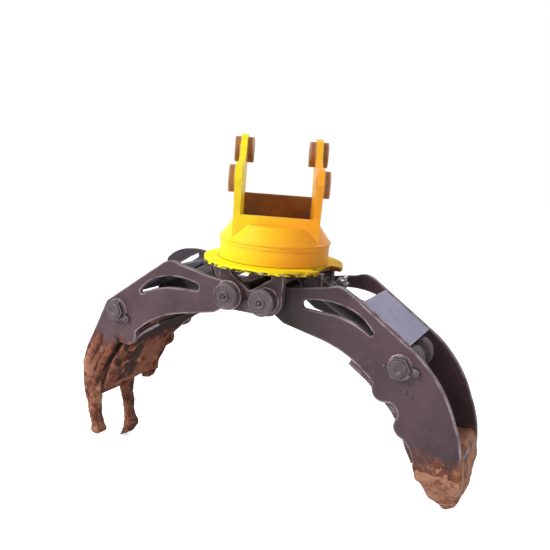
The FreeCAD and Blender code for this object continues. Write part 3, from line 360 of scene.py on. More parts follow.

# %% [markdown]
# ## 6. Bare metals
# Pins, bearing rings, castings, bronze and the chromed rods are machined, so they have no paint to
# lose. Their recipe is simpler: two close colours, oily grime in patches, darker corners and a painted
# highlight along the edges. Rings and rods get noise stretched round them, like the marks of a lathe.


# %% Bare metals
def bare_metal(name, light, dark, rough=0.35, metal=0.85, grime=0.4, turned=False):
    """Machined or cast metal with oily grime."""
    recipe = Recipe(name)
    stretch = (1, 12, 1) if turned else (1, 1, 1)
    colour = recipe.mix(recipe.span(recipe.grain(24, 6, 0.6, stretch=stretch), 0.3, 0.7), light, dark)
    patches = recipe.grain(12, 7, 0.65)
    # Oily grime in patches, and darker in corners.
    grime_and_dark_corners = recipe.calc("ADD", recipe.span(patches, 0.5, 0.7, 0, grime),
                        recipe.calc("MULTIPLY", recipe.corner(0.03), grime))
    colour = recipe.mix(grime_and_dark_corners, colour, (0.07, 0.045, 0.035))
    # Painted highlight: the edges are lightened towards pale grey.
    painted_edge_highlight = recipe.calc("MULTIPLY", recipe.edge(0.004, 4.0), 0.6)
    colour = recipe.mix(painted_edge_highlight, colour, (0.55, 0.50, 0.50))
    recipe.bump(recipe.grain(70, 4), 0.0012, 0.5)
    return recipe.finish(colour, recipe.span(patches, 0.3, 0.7, rough - 0.06, rough + 0.2),
                         recipe.span(grime_and_dark_corners, 0, 1, metal, 0.3))


pin_steel = bare_metal("pin_steel", (0.150, 0.118, 0.135), (0.085, 0.064, 0.074), 0.40, 0.45, 0.35)
bearing = bare_metal("bearing_steel", (0.50, 0.50, 0.51), (0.38, 0.38, 0.39), 0.25, 0.95, 0.25, True)
casting = bare_metal("hydraulic_casting", (0.10, 0.10, 0.11), (0.06, 0.06, 0.065), 0.5, 0.6)
bronze = bare_metal("bronze", (0.50, 0.29, 0.10), (0.36, 0.20, 0.07), 0.32, 0.9)
chrome = bare_metal("rod_chrome", (0.72, 0.72, 0.74), (0.60, 0.60, 0.62), 0.12, 1.0, 0.35, True)
print("metals ready")

# %% [markdown]
# ### Earth
# Dry earth is darkest where the crust lies low, red-brown in the middle and tan where it stands out. A
# painted pattern would ignore the lumps, so the colour follows the crust's own relief, less a painted shade
# in its grooves and pockets, which the crust cells below store on each vertex as an attribute.


# %% Earth
def earthy_steel(name):
    """Worn steel caked with earth, tan where it is rubbed, with a painted shade in its hollows."""
    recipe = Recipe(name)
    colour = earth_colour(recipe, 0.52)
    rubbed = recipe.calc("MULTIPLY", recipe.edge(0.012, 2.4), recipe.span(recipe.grain(24, 5), 0.4, 0.6))
    colour = recipe.mix(recipe.calc("MULTIPLY", rubbed, 0.6), colour, (0.58, 0.36, 0.26))
    lumpy = recipe.calc("ADD", recipe.grain(42, 9, 0.72), recipe.calc("MULTIPLY", recipe.grain(13, 4), 0.6))
    recipe.bump(lumpy, 0.012, 0.8)
    return recipe.finish(colour, 0.92)


def caked_earth(name, tone=0.0):
    """Earth coloured by its relief; tone makes all of it paler or darker."""
    recipe = Recipe(name)
    # The attribute holds the crust's height, less the painted shade of its grooves and pockets.
    relief = recipe.add("ShaderNodeAttribute", attribute_name="proud_and_shade").outputs["Fac"]
    level = recipe.calc("ADD", relief, recipe.span(recipe.grain(24, 8, 0.7), 0.3, 0.7, 0, 0.30))
    level = recipe.calc("ADD", level, recipe.span(recipe.grain(5, 3), 0.46, 0.66, 0, 0.18))
    level = recipe.calc("ADD", level, recipe.span(recipe.grain(85, 6, 0.72), 0.38, 0.62, 0, 0.32))
    level = recipe.calc("SUBTRACT", level, 0.40 - tone)
    # Painted highlight: the earth is paler towards the jaw's outer left edge, where the key lamp strikes.
    level = recipe.calc("ADD", level, recipe.span(recipe.along("X"), -0.70, -0.80, 0, 0.20))
    low = recipe.mix(recipe.span(level, 0.06, 0.34), (0.030, 0.009, 0.005), EARTH_DARK)
    mid = recipe.mix(recipe.span(level, 0.34, 0.58), low, EARTH_MID)
    colour = recipe.mix(recipe.span(level, 0.60, 0.88), mid, EARTH_PALE)
    # Painted shade: corners turn almost black.
    colour = recipe.mix(recipe.span(recipe.corner(0.07), 0.15, 0.6, 0, 0.9), colour, (0.030, 0.010, 0.007))
    bare = recipe.calc("ADD", recipe.span(recipe.along("Z"), -0.96, -0.82),
                       recipe.span(recipe.grain(12, 7), 0.3, 0.7, 0, 0.6))
    colour = recipe.mix(recipe.span(bare, 0.72, 0.95), colour, GREY_LIGHT)
    lumpy = recipe.calc("ADD", recipe.grain(38, 9, 0.7), recipe.calc("MULTIPLY", recipe.grain(12, 4), 0.5))
    recipe.bump(lumpy, 0.008, 0.7)
    return recipe.finish(colour, 0.93)


earthy = earthy_steel("earthy_steel")
caked = caked_earth("caked_earth")
# Painted shade: a darker copy of the earth for the far finger, which lies in the shade of the near one.
caked_shaded = caked_earth("caked_earth_shaded", -0.14)
caked_tan = caked_earth("caked_earth_tan", 0.18)
print("earths ready")

# %% [markdown]
# ### The chipped flange
# The flange carries the knocks of the load. Its rim has lost paint down to dark primer and bare
# steel, and rust stains its right end. The chips are noise kept to the rim by the height, so the top
# face stays clean.


# %% The chipped flange
def chipped_flange(name, top, bottom):
    """Yellow flange whose rim is chipped to dark primer and bare steel, stained on the right."""
    recipe = Recipe(name)
    # Painted shade: the flange fades from lemon to orange towards its right, away from the key lamp.
    paint = recipe.mix(recipe.span(recipe.along("X"), 0.0, 0.38), LEMON, (1.0, 0.62, 0.008))
    low = recipe.span(recipe.along("Z"), top, bottom)
    chips = recipe.calc("MULTIPLY", low,
                        recipe.span(recipe.grain(30, 8, 0.7, stretch=(1, 1, 3)), 0.45, 0.52))
    paint = recipe.mix(recipe.span(recipe.calc("MULTIPLY", chips, 1.6), 0.4, 0.7), paint,
                       recipe.mix(recipe.span(recipe.grain(40, 5), 0.5, 0.6), (0.035, 0.022, 0.016),
                                  (0.62, 0.50, 0.24)))
    rim = recipe.span(recipe.along("Z"), top + 0.006, top)
    stain = recipe.calc("MULTIPLY", recipe.span(recipe.along("X"), 0.20, 0.31, 0, rim),
                        recipe.span(recipe.grain(11, 7, 0.65), 0.36, 0.56))
    paint = recipe.mix(stain, paint, (0.20, 0.075, 0.02))
    shade = recipe.span(recipe.corner(0.05), 0.25, 0.85, 0, 0.75)
    paint = recipe.mix(shade, paint, (0.30, 0.15, 0.02))
    dents = recipe.calc("ADD", recipe.grain(12, 3), recipe.calc("MULTIPLY", chips, 0.8))
    recipe.bump(dents, 0.004, 0.5)
    recipe.shader.inputs["Specular IOR Level"].default_value = 0.15
    return recipe.finish(paint, recipe.span(chips, 0, 1, 0.62, 0.8))


soiled = worn_paint("soiled_yellow", (0.30, 0.12, 0.03), (0.12, 0.045, 0.022), (0.62, 0.40, 0.12),
                    edge_wear=0.5, rust=0.9, dust=0.8, gloss=0.7, dirt=(0.10, 0.05, 0.035))
flange_paint = chipped_flange("yellow_flange", SLEW_AXIS.z - 0.018, SLEW_AXIS.z - 0.032)
print("flange paint ready")

# %% [markdown]
# ## 7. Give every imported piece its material
# The record names a finish for each piece, and most pieces take it as it is. A few differ in the
# open: the soiled cross plate, the dark inner web and the jaws' plates, so they are looked up first.

# %% Assign materials
BY_SLOT = {"yellow_paint": yellow, "rusty_collar": collar_rust, "pin_steel": pin_steel,
           "bearing_steel": bearing, "hydraulic_casting": casting, "bronze": bronze,
           "rod_chrome": chrome, "cylinder_paint": cylinder_paint, "earthy_steel": earthy,
           "cover_paint": cover, "grey_paint": grey}
SLOT_OF = {entry["node"]: entry["material_slot"] for entry in frame["record"]["subparts"]}
BY_NODE = {"flange_plate": flange_paint, "cross_plate_rear": soiled, "slew_race_bolts": casting,
           "jaw_left_hose_guard": cylinder_paint, "jaw_left_inner_web": shaded_web,
           "jaw_left_flanks": shaded_web, "jaw_left_side_near": side_left, "jaw_left_side_far": side_left,
           "jaw_right_side_near": side_right, "jaw_right_side_far": side_right}


def finish_for(node):
    """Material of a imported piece."""
    if node in BY_NODE:
        return BY_NODE[node]
    slot = SLOT_OF[node]
    if slot == "grey_paint" and node.startswith("jaw_left"):
        return grey_left
    if slot == "grey_paint" and node.startswith("jaw_right"):
        return grey_right
    return BY_SLOT[slot]


for node_name, piece in NODES.items():
    piece.data.materials.clear()
    piece.data.materials.append(finish_for(node_name))
print("materials on", len(NODES), "pieces")

# %% [markdown]
# ## 8. Tools for extra detail
# Welds, bolts and caps are small meshes of their own. They could be modelled one by one in the
# viewport, but most are either turned on a lathe or drawn along a line, so two builders make them
# all. Each piece rides on the body that carries it and takes a material shared with other pieces.


# %% Detail tools
def new_piece(name, mesh_build, body, material, smooth=True):
    """Object from a bmesh, riding on a body."""
    mesh = bpy.data.meshes.new(name)
    mesh_build.to_mesh(mesh)
    mesh_build.free()
    if smooth:
        mesh.shade_smooth()
    mesh.materials.append(material)
    piece = bpy.data.objects.new(name, mesh)
    bpy.context.scene.collection.objects.link(piece)
    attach(piece, body)
    return piece


def frame_about(direction):
    """Rotation whose Z axis is the direction."""
    return Vector(direction).normalized().to_track_quat("Z", "Y").to_matrix()


def add_lathe(build, profile, centre, direction, sides=40, turn=0.0):
    """Turned shape: profile is (radius, distance along direction) from one end to the other."""
    spin = frame_about(direction)
    rings = []
    for radius, along in profile:
        ring = []
        for index in range(sides):
            angle = turn + 2 * math.pi * index / sides
            local = Vector((radius * math.cos(angle), radius * math.sin(angle), along))
            ring.append(build.verts.new(centre + spin @ local))
        rings.append(ring)
    for low, high in zip(rings, rings[1:]):
        for index in range(sides):
            build.faces.new((low[index], low[index - 1], high[index - 1], high[index]))
    build.faces.new(rings[0])
    build.faces.new(list(reversed(rings[-1])))


print("lathe ready")

# %% [markdown]
# ### Beads
# A weld bead follows a line of points, given by the two small helpers below it. The tube's rings
# stand across the line, and their size goes up and down a little, as the drops of a real bead do.


# %% Beads and lines
def add_bead(build, points, radius, sides=7):
    """Weld bead along a line of points, with the ripple of its drops."""
    step = radius * 0.55
    samples = []
    for start, end in zip(points, points[1:]):
        count = max(1, int((end - start).length / step))
        samples += [start.lerp(end, index / count) for index in range(count)]
    samples.append(points[-1])
    rings = []
    for index, point in enumerate(samples):
        ahead = samples[min(index + 1, len(samples) - 1)] - samples[max(index - 1, 0)]
        spin = frame_about(ahead)
        size = radius * (1 + 0.16 * math.sin(index * 1.9) + 0.10 * noise.noise(point * 60))
        rings.append([build.verts.new(point + spin @ Vector((size * math.cos(2 * math.pi * k / sides),
                                                              size * math.sin(2 * math.pi * k / sides), 0)))
                      for k in range(sides)])
    for low, high in zip(rings, rings[1:]):
        for k in range(sides):
            build.faces.new((low[k], low[k - 1], high[k - 1], high[k]))
    build.faces.new(rings[0])
    build.faces.new(list(reversed(rings[-1])))


def ring_points(centre, radius, y, count=36):
    """Circle across Y, given from the slewing axis."""
    turns = [2 * math.pi * index / count for index in range(count + 1)]
    return [turning(centre[0] + radius * math.cos(turn), y, centre[1] + radius * math.sin(turn))
            for turn in turns]


def line_points(places, y):
    """Points in X and Z at one distance across."""
    return [turning(x, y, z) for x, z in places]


print("beads and lines ready")

# %% [markdown]
# ## 9. Weld beads
# The plates of such a machine are welded, and the beads show as rippled lines along the joints: frame
# plates to flange, rings round the bosses, covers and the inner webs. A bump in the material would be
# flat at the edge of the view, so each bead is a real tube whose size ripples with its drops.

# %% Weld beads
LOAD_SIDE = [(0.440, -0.350), (0.520, -0.402), (0.580, -0.452), (0.632, -0.503), (0.668, -0.552),
             (0.706, -0.640), (0.735, -0.690)]
FRAME_EDGE = [(-0.146, -0.037), (0.146, -0.037)]
BACK_LINE = {"right": ((0.468, -0.101), (0.672, -0.235)), "left": ((0.468, -0.105), (0.672, -0.254))}
beads = {"frame": [], "jaw_left": [], "jaw_right": []}
for near in (-1, 1):
    beads["frame"].append((line_points(FRAME_EDGE, near * 0.206), 0.006))
    beads["frame"].append((ring_points(PIVOT, 0.052, near * 0.205), 0.005))
    beads["jaw_left"].append((ring_points((-PIVOT[0], PIVOT[1]), 0.0585, near * 0.232), 0.0045))
    for name, side in SIDE.items():
        face, inner, runs = PLATE_FACE[name], PLATE_INNER[name], beads[f"jaw_{name}"]
        runs.append((ring_points((side * ROD_PIN[0], ROD_PIN[1]), 0.047, near * (face + 0.002)), 0.005))
        load = [(side * x, z - 0.002) for x, z in LOAD_SIDE]
        runs.append((line_points(load, near * (inner - 0.003)), 0.006))
        if name == "right" or near < 0:
            edge = [(side * x, z + 0.001) for x, z in BACK_LINE[name]]
            runs.append((line_points(edge, near * (inner - 0.001)), 0.005))
for body_name, runs in beads.items():
    build = bmesh.new()
    for points, radius in runs:
        add_bead(build, points, radius)
    metal = {"frame": grey, "jaw_left": grey_left, "jaw_right": grey_right}[body_name]
    new_piece(f"weld_beads_{body_name}", build, body_name, metal)

# %% [markdown]
# ## 10. Pin caps, keeper lugs and fittings
# A keeper lug is a small bar with round ends that is bolted to the plate, so that the pin's cap can't
# turn. Its outline is two half circles joined by straight sides, set out in the plane of the plate
# and then raised, with a smaller top for the rounded edge. The bolt is two turned shapes, one of
# them with six sides.


# %% Bars and bolts
def add_bar(build, start, end, half_width, near, lift, rounded=10):
    """Plate with round ends across Y, from the place start to the place end."""
    run = (Vector(end) - Vector(start)).normalized()
    heading = math.atan2(run.y, run.x)
    ring = []
    for middle, base in ((end, heading), (start, heading + math.pi)):
        for index in range(rounded + 1):
            turn = base - math.pi / 2 + math.pi * index / rounded
            ring.append((middle[0] + half_width * math.cos(turn), middle[1] + half_width * math.sin(turn)))
    low = [build.verts.new(turning(x, near * lift[0], z)) for x, z in ring]
    high = [build.verts.new(turning(x, near * (lift[1] - 0.002), z)) for x, z in ring]
    middle = ((start[0] + end[0]) / 2, (start[1] + end[1]) / 2)
    inset = [(x + 0.12 * (middle[0] - x), z + 0.12 * (middle[1] - z)) for x, z in ring]
    top = [build.verts.new(turning(x, near * lift[1], z)) for x, z in inset]
    for first, second in ((low, high), (high, top)):
        for index in range(len(ring)):
            build.faces.new((first[index], first[index - 1], second[index - 1], second[index]))
    build.faces.new(low)
    build.faces.new(list(reversed(top)))


def add_hex_bolt(build, x, z, near, face, radius):
    """Washer and hexagon head on a plate face."""
    centre = turning(x, near * face, z)
    out = (0, near, 0)
    add_lathe(build, [(radius * 1.35, 0), (radius * 1.35, 0.002), (radius * 1.1, 0.003)], centre, out, 24)
    add_lathe(build, [(radius, 0.002), (radius, 0.009), (radius * 0.82, 0.0115)], centre, out, 6, 0.3)


print("bars and bolts ready")

# %% [markdown]
# ### Pivot caps
# The round caps on the pivots carry two raised rings and a grease nipple in the middle. A lathe
# profile gives all three, and the light catches their rounded rims.

# %% Pivot caps
cap_build = bmesh.new()
for near in (-1, 1):
    for side in (-1, 1):
        centre = turning(side * PIVOT[0], near * CAP_FACE, PIVOT[1])
        out = (0, near, 0)
        for outer, inner, height in ((0.049, 0.043, 0.0025), (0.022, 0.014, 0.005)):
            add_lathe(cap_build, [(outer, -0.004), (outer, height - 0.0015), (outer - 0.0015, height),
                                  (inner + 0.0015, height), (inner, height - 0.0015), (inner, -0.002)],
                      centre, out, 48)
        add_lathe(cap_build, [(0.0065, -0.008), (0.0065, -0.001), (0.004, 0.001), (0.0035, 0.005),
                              (0.0052, 0.008), (0.0035, 0.011)], centre, out, 16)
new_piece("pivot_cap_rings", cap_build, "frame", pin_steel)
print("caps at", CAP_FACE, "m from the middle")

# %% [markdown]
# ### Keeper lugs
# Each rod pin has a lug with its bolt beside the hexagonal cap, on both faces of the jaw. The right
# jaw also shows three small plugs near its lug.

# %% Keeper lugs
PLUGS = ((0.682, -0.410), (0.705, -0.427), (0.589, -0.325))
LUGS = {"right": ((0.662, -0.318), (0.712, -0.326)), "left": ((0.642, -0.325), (0.598, -0.352))}
for name, side in SIDE.items():
    lug_build = bmesh.new()
    face = PLATE_FACE[name]
    for near in (-1, 1):
        (x1, z1), (x2, z2) = LUGS[name]
        add_bar(lug_build, (side * x1, z1), (side * x2, z2), 0.017, near, (face, face + 0.013))
        add_hex_bolt(lug_build, side * x2, z2, near, face + 0.013, 0.0095)
        centre = turning(side * ROD_PIN[0], near * (face + 0.032), ROD_PIN[1])
        add_lathe(lug_build, [(0.034, -0.004), (0.034, 0.003), (0.030, 0.005), (0.016, 0.005), (0.013, 0.002)],
                  centre, (0, near, 0), 40)
        if name == "right":
            for x, z in PLUGS:
                add_lathe(lug_build, [(0.008, 0), (0.008, 0.003), (0.005, 0.0055)],
                          turning(x, near * face, z), (0, near, 0), 18)
    new_piece(f"keeper_lugs_{name}", lug_build, f"jaw_{name}", pin_steel)
print("keeper lugs on", len(LUGS), "jaws")

# %% [markdown]
# ### Inside the jaws
# Between the plates the rod pin carries a stack of collars, and the rod's eye turns on it in a dark
# sleeve. The cylinders have hexagonal adaptors on their ports. The collars are seen from the open
# back of the right jaw, so each stack is one lathe profile with grooves between the rings. The
# sleeve rides on the rod, because it turns with it.

# %% Collars, sleeves and fittings
COLLAR_RADIUS = {"right": 0.064, "left": 0.050}
EYE = [(0.045, -0.0448), (0.0475, -0.043), (0.0475, -0.020), (0.049, -0.018), (0.049, 0.018),
       (0.0475, 0.020), (0.0475, 0.043), (0.045, 0.0448)]
for name, side in SIDE.items():
    ring_build = bmesh.new()
    wide = COLLAR_RADIUS[name]
    stack = [(wide - 0.003, 0.050), (wide, 0.052), (wide, 0.064), (wide - 0.003, 0.066), (0.044, 0.066),
             (0.044, 0.074), (wide - 0.003, 0.076), (wide, 0.078), (wide, 0.092), (wide - 0.003, 0.094),
             (0.044, 0.094), (0.044, 0.102), (wide - 0.008, 0.104), (wide - 0.006, 0.106),
             (wide - 0.006, 0.118), (wide - 0.009, 0.120), (0.0425, 0.120)]
    for near in (-1, 1):
        add_lathe(ring_build, stack, turning(side * ROD_PIN[0], 0, ROD_PIN[1]), (0, near, 0), 48)
    new_piece(f"pin_collar_rings_{name}", ring_build, f"jaw_{name}", pin_steel)
    eye_build = bmesh.new()
    add_lathe(eye_build, EYE, turning(side * ROD_PIN[0], 0, ROD_PIN[1]), (0, 1, 0), 56)
    new_piece(f"rod_eye_sleeve_{name}", eye_build, f"rod_{name}", cylinder_paint)
    low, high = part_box(f"cylinder_{name}_ports")
    fit_build = bmesh.new()
    lean = Vector((side * 0.47, 0, 0.88)).normalized()
    middle = (Vector(low) + Vector(high)) / 2
    for across_y in (-0.011, 0.011):
        foot = Vector((middle.x + side * 0.004, SLEW_AXIS.y + across_y, high[2] - 0.012))
        add_lathe(fit_build, [(0.0088, -0.006), (0.0088, 0.012)], foot, lean, 6)
        add_lathe(fit_build, [(0.006, 0.012), (0.006, 0.022), (0.0045, 0.023)], foot, lean, 20)
    new_piece(f"port_fittings_{name}", fit_build, f"barrel_{name}", bearing)
print("collars, sleeves and fittings ready")

# %% [markdown]
# ## 11. Caked earth
# Earth cakes on the ends of the jaws in a crust with ragged edges. Sculpting it would be slow and
# could not be repeated, so a crust is a copy of the steel beneath it: remeshed into even small
# faces, pushed out by noise where earth has caked and pulled in where it has not, so it comes out of
# the steel in patches.


# %% Copy and remesh
def plain_copy(nodes, extra=None):
    """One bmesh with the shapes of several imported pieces."""
    build = bmesh.new()
    for node in nodes:
        build.from_mesh(NODES[node].data)
    if extra:
        extra(build)
    bmesh.ops.remove_doubles(build, verts=build.verts, dist=1e-5)
    return build


def remeshed(build, voxel, soften):
    """Mesh data after voxel remesh and smoothing."""
    mesh = bpy.data.meshes.new("remesh_source")
    build.to_mesh(mesh)
    build.free()
    helper = bpy.data.objects.new("remesh_helper", mesh)
    bpy.context.scene.collection.objects.link(helper)
    remesh = helper.modifiers.new("remesh", "REMESH")
    remesh.mode = "VOXEL"
    remesh.voxel_size = voxel
    smooth = helper.modifiers.new("smooth", "SMOOTH")
    smooth.factor = 0.5
    smooth.iterations = soften
    bpy.context.view_layer.update()
    graph = bpy.context.evaluated_depsgraph_get()
    result = bpy.data.meshes.new_from_object(helper.evaluated_get(graph))
    bpy.data.objects.remove(helper)
    bpy.data.meshes.remove(mesh)
    return result


print("remeshing ready")

# %% [markdown]
# ### Push the crust out
# Every vertex moves along its normal by a height that a function gives for its place. The height, less
# a painted shade for grooves and pockets, is stored on each vertex for the colour, and faces that sink
# below the steel are deleted, because nobody can see them.


# %% Push the crust out
def lumps(point, scale, seed):
    """Rough lumps, about -1 to 1."""
    place = point * scale + Vector((seed, seed * 0.7, -seed))
    return noise.fractal(place, 0.7, 2.1, 4)


def push(mesh, amount, painted_shade):
    """Move every vertex along its normal; leave out the patches that sink below the steel.

    The shade function tells how much painted shade a place gets, from 0 to 1, which darkens its colour."""
    build = bmesh.new()
    build.from_mesh(mesh)
    build.normal_update()
    proud_and_shade = build.verts.layers.float.new("proud_and_shade")
    sunk = set()
    for vert in build.verts:
        step = amount(vert.co)
        # Store the height, less the painted shade of the place, for the colour.
        vert[proud_and_shade] = min(max(0.5 + step * 60 - painted_shade(vert.co), 0.0), 1.0)
        vert.co += vert.normal * step
        if step < -0.004:
            sunk.add(vert)
        for axis in range(3):
            vert.co[axis] = min(max(vert.co[axis], cad_box[0][axis]), cad_box[1][axis])
    gone = [face for face in build.faces if all(vert in sunk for vert in face.verts)]
    bmesh.ops.delete(build, geom=gone, context="FACES")
    return build


def crust(name, build, body, height, voxel=0.0075, soften=2, painted_shade=lambda point: 0.0, finish=caked):
    """Piece of caked earth over the shapes in build."""
    mesh = remeshed(build, voxel, soften)
    piece = new_piece(name, push(mesh, height, painted_shade), body, finish)
    bpy.data.meshes.remove(mesh)
    return piece


print("crust tool ready")

# %% [markdown]
# ### Ridges and grooves
# The shanks of the two fingers run up both sides of the left jaw and show through the earth as
# ridges. The ridges are tapered tubes that a remesh rounds off. The grooves between them are a painted
# shade: they are lines in the plane of the plate, and the distance from them darkens the earth.


# %% Ridges and grooves
def add_ridge(build, points, radius, flat=0.6, sides=10):
    """Tapered ridge along points given as X, Y, Z from the slewing axis."""
    places = [turning(*point) for point in points]
    count = 24
    rings = []
    for index in range(count + 1):
        share = index / count * (len(places) - 1)
        low = min(int(share), len(places) - 2)
        middle = places[low].lerp(places[low + 1], share - low)
        ahead = (places[low + 1] - places[low]).normalized()
        sideways = ahead.cross(Vector((0, 1, 0))).normalized()
        size = radius * (0.45 + 0.55 * math.sin(math.pi * min(1.0, 0.15 + 0.85 * index / count)))
        rings.append([build.verts.new(middle + sideways * size * math.cos(2 * math.pi * k / sides)
                                      + Vector((0, size * flat * math.sin(2 * math.pi * k / sides), 0)))
                      for k in range(sides)])
    for low, high in zip(rings, rings[1:]):
        for k in range(sides):
            build.faces.new((low[k], low[k - 1], high[k - 1], high[k]))
    build.faces.new(rings[0])
    build.faces.new(list(reversed(rings[-1])))


def left_ridges(build):
    """Shanks of the fingers, which show through the earth as ridges on both sides of the jaw."""
    for near in (-1, 1):
        add_ridge(build, [(-0.742, near * 0.224, -0.450), (-0.790, near * 0.224, -0.543),
                          (-0.828, near * 0.214, -0.640), (-0.856, near * 0.188, -0.750)], 0.026, 0.9)
        add_ridge(build, [(-0.652, near * 0.232, -0.448), (-0.685, near * 0.236, -0.520),
                          (-0.716, near * 0.238, -0.580), (-0.752, near * 0.236, -0.650),
                          (-0.800, near * 0.218, -0.750)], 0.024, 0.9)
    add_ridge(build, [(-0.594, -0.228, -0.470), (-0.630, -0.234, -0.535),
                      (-0.668, -0.236, -0.610), (-0.712, -0.232, -0.705)], 0.022, 0.8)


def left_crust_height(point):
    """How far the earth stands out from the left jaw."""
    depth = min(max((-0.80 - point.z) / 0.22, 0.0), 1.0)
    return -0.012 + 0.0135 * depth + 0.008 * lumps(point, 9, 3.0) + 0.003 * lumps(point, 40, 8.0)


# Lines and spots of painted shade on the near side: the grooves between the ridges and the pockets in the
# earth.
GROOVE_SHADE_LINES = [[(0.684, -0.458), (0.717, -0.522), (0.745, -0.577), (0.772, -0.630)],
           [(0.602, -0.415), (0.653, -0.519), (0.697, -0.606), (0.735, -0.703)]]
POCKET_SHADE_SPOTS = [(0.573, -0.485, 0.026), (0.625, -0.565, 0.016), (0.650, -0.660, 0.018)]


def left_painted_shade(point):
    """Painted shade, from 0 to 1, of the grooves between the finger shanks and of pockets in the earth, on the
    near side.
    """
    local = point - SLEW_AXIS
    if local.y > 0:
        return 0.0
    spot = Vector((-local.x, local.z))
    dark = 0.0
    for line in GROOVE_SHADE_LINES:
        for start, end in zip(line, line[1:]):
            first, run = Vector(start), Vector(end) - Vector(start)
            share = min(max((spot - first).dot(run) / run.length_squared, 0.0), 1.0)
            dark = max(dark, 1.2 - (spot - first - share * run).length / 0.012)
    for x, z, radius in POCKET_SHADE_SPOTS:
        dark = max(dark, 1.3 - (spot - Vector((x, z))).length / radius)
    return 0.8 * min(dark, 1.0)


print(len(GROOVE_SHADE_LINES), "grooves and", len(POCKET_SHADE_SPOTS), "pockets")

# %% [markdown]
# ### The left jaw's earth
# The crust grows thicker towards the fingers. A lip of earth hangs from the far plate's inner corner.
# The worn fingers replace the imported ones: they are rounded copies of them, so they keep their
# places and lengths, and the far one gets a darker earth, a painted shade, as it lies in the shade of the near
# one.

# %% Left jaw earth
LEFT_SKIN = ["jaw_left_side_near", "jaw_left_side_far", "jaw_left_flanks", "jaw_left_back_plate",
             "jaw_left_inner_web"]
left_crust = crust("earth_crust_left", plain_copy(LEFT_SKIN), "jaw_left", left_crust_height,
                   painted_shade=left_painted_shade)
ridge_build = bmesh.new()
left_ridges(ridge_build)
crust("finger_shank_ridges", ridge_build, "jaw_left", lambda point: 0.004 * lumps(point, 22, 6.0),
      voxel=0.006, soften=3, painted_shade=left_painted_shade)
lip_build = bmesh.new()
add_ridge(lip_build, [(-0.838, 0.217, -0.800), (-0.802, 0.219, -0.786), (-0.774, 0.219, -0.762),
                      (-0.759, 0.219, -0.730), (-0.754, 0.219, -0.700)], 0.021, 0.8)
add_ridge(lip_build, [(-0.832, 0.217, -0.776), (-0.798, 0.219, -0.757), (-0.780, 0.219, -0.725)], 0.024, 0.7)
crust("earth_lip_far", lip_build, "jaw_left", lambda point: 0.004 * lumps(point, 20, 7.0),
      voxel=0.006, soften=4)
for which, soften, finish in (("near", 5, caked), ("far", 2, caked_shaded)):
    finger = crust(f"worn_finger_{which}", plain_copy([f"jaw_left_finger_{which}"]), "jaw_left",
                   lambda point: 0.0045 * lumps(point, 16, 1.0) + 0.002 * lumps(point, 50, 4.0),
                   voxel=0.005, soften=soften, finish=finish)
    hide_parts(f"jaw_left_finger_{which}")

print("earth on", len(left_crust.data.polygons), "faces of the left jaw")

# %% [markdown]
# ### The right jaw's earth
# The narrow jaw ends in a box tine that is full of packed earth. One crust covers plates and tine
# together, because two crusts would leave a crack between them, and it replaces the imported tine.


# %% Right jaw earth
def right_crust_height(point):
    """How far the earth stands out from the right jaw, most at its tine."""
    depth = min(max((-1.02 - point.z) / 0.16, 0.0), 1.0)
    local = point - SLEW_AXIS
    low = local.z < -0.71 or (abs(local.y) < 0.150 and local.z < -0.60 and local.x > 0.775)
    patches = 0.009 * lumps(point, 10, 5.0) + 0.003 * lumps(point, 38, 2.0)
    return max(-0.014 + 0.014 * depth + patches, 0.001 + 0.3 * patches if low else -1.0)


RIGHT_SKIN = ["jaw_right_side_near", "jaw_right_side_far", "jaw_right_back_plate", "jaw_right_inner_web",
              "jaw_right_tine"]


def packed_earth(build):
    """Earth that fills the narrow end of the right jaw between its webs."""
    corners = [(0.785, -0.640), (0.900, -0.622), (0.918, -0.745), (0.770, -0.745)]
    rings = [[build.verts.new(turning(x, across_y, z)) for x, z in corners] for across_y in (-0.158, 0.158)]
    for index in range(4):
        build.faces.new((rings[0][index], rings[0][index - 1], rings[1][index - 1], rings[1][index]))
    build.faces.new(rings[0])
    build.faces.new(list(reversed(rings[1])))


tine = crust("earth_crust_right", plain_copy(RIGHT_SKIN, packed_earth), "jaw_right", right_crust_height,
             soften=4, finish=caked_tan)
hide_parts("jaw_right_tine")
print("earth on", len(tine.data.polygons), "faces of the right jaw")

# %% [markdown]
# ## 12. Lamps
# A large lamp from the upper left in front gives soft shadows, a weak one from the right fills them,
# and one behind marks the top edges. Large discs are used rather than points, because the sky over a
# yard has no sharp shadows either.


# %% Lamps
def lamp(name, place, size, power, target=(0.0, -0.1, -0.9)):
    data = bpy.data.lights.new(name, "AREA")
    data.shape = "DISK"
    data.size = size
    data.energy = power
    light = bpy.data.objects.new(name, data)
    bpy.context.scene.collection.objects.link(light)
    light.matrix_world = Matrix.Translation(place) @ frame_about(Vector(place) - Vector(target)).to_4x4()


lamp("key", (-3.2, -4.6, 3.2), 2.2, 330)
lamp("fill", (4.6, -3.4, 1.6), 3.0, 45)
lamp("back", (0.5, 4.5, 3.6), 3.0, 90)

print("lamps ready")

# %% [markdown]
# ### The white background
# The camera and mirror-like surfaces see a world of strength 1, which is plain white. All other rays
# see a weaker one, so the white background doesn't flood the object with light.

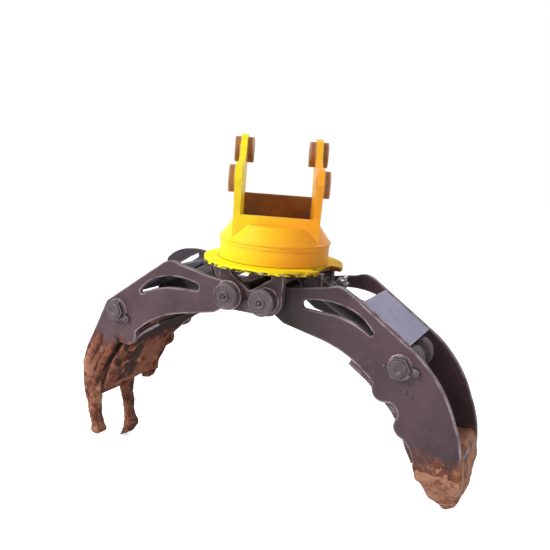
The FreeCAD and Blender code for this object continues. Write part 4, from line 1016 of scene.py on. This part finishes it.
# %% Background
world = bpy.data.worlds.new("studio")
bpy.context.scene.world = world
world.use_nodes = True
background = world.node_tree.nodes["Background"]
rays = world.node_tree.nodes.new("ShaderNodeLightPath")
seen = rays.outputs["Is Camera Ray"]
for kind in ("Is Transmission Ray", "Is Glossy Ray"):
    either = world.node_tree.nodes.new("ShaderNodeMath")
    either.operation = "MAXIMUM"
    world.node_tree.links.new(seen, either.inputs[0])
    world.node_tree.links.new(rays.outputs[kind], either.inputs[1])
    seen = either.outputs[0]
strength = world.node_tree.nodes.new("ShaderNodeMapRange")
strength.inputs["To Min"].default_value = 0.36
strength.inputs["To Max"].default_value = 1.0
world.node_tree.links.new(seen, strength.inputs["Value"])
world.node_tree.links.new(strength.outputs["Result"], background.inputs["Strength"])
background.inputs["Color"].default_value = (1, 1, 1, 1)
print("background ready")

# %% [markdown]
# ### The floor
# The floor is a wide pale sheet that keeps the object's shadow. It glows a little for the camera
# only, so that it blends into the white background without lighting the object from below.

# %% Floor
floor_mesh = bpy.data.meshes.new("floor")
floor_level = cad_box[0][2] - 0.002
reach = 30
floor_mesh.from_pydata([(-reach, -reach, floor_level), (reach, -reach, floor_level),
                        (reach, reach, floor_level), (-reach, reach, floor_level)], [], [(0, 1, 2, 3)])
floor = bpy.data.objects.new("floor", floor_mesh)
bpy.context.scene.collection.objects.link(floor)
floor_recipe = Recipe("floor")
floor_recipe.feed(floor_recipe.shader.inputs["Emission Color"], (1, 1, 1))
camera_only = floor_recipe.add("ShaderNodeLightPath").outputs["Is Camera Ray"]
floor_recipe.feed(floor_recipe.shader.inputs["Emission Strength"],
                  floor_recipe.calc("MULTIPLY", camera_only, 0.62))
floor_mesh.materials.append(floor_recipe.finish(
    floor_recipe.mix(floor_recipe.grain(0.5), (0.96, 0.96, 0.96), (0.94, 0.94, 0.94)), 0.9))
bpy.context.scene.view_settings.view_transform = "Standard"
print("floor at", round(floor_level, 3), "m")

# %% [markdown]
# ## 13. Finish
# The caked earth is held inside the imported model's box by the crust cells above. The finished scene
# has to stay inside the imported model's box.

# %% Finish
print("scene ready")
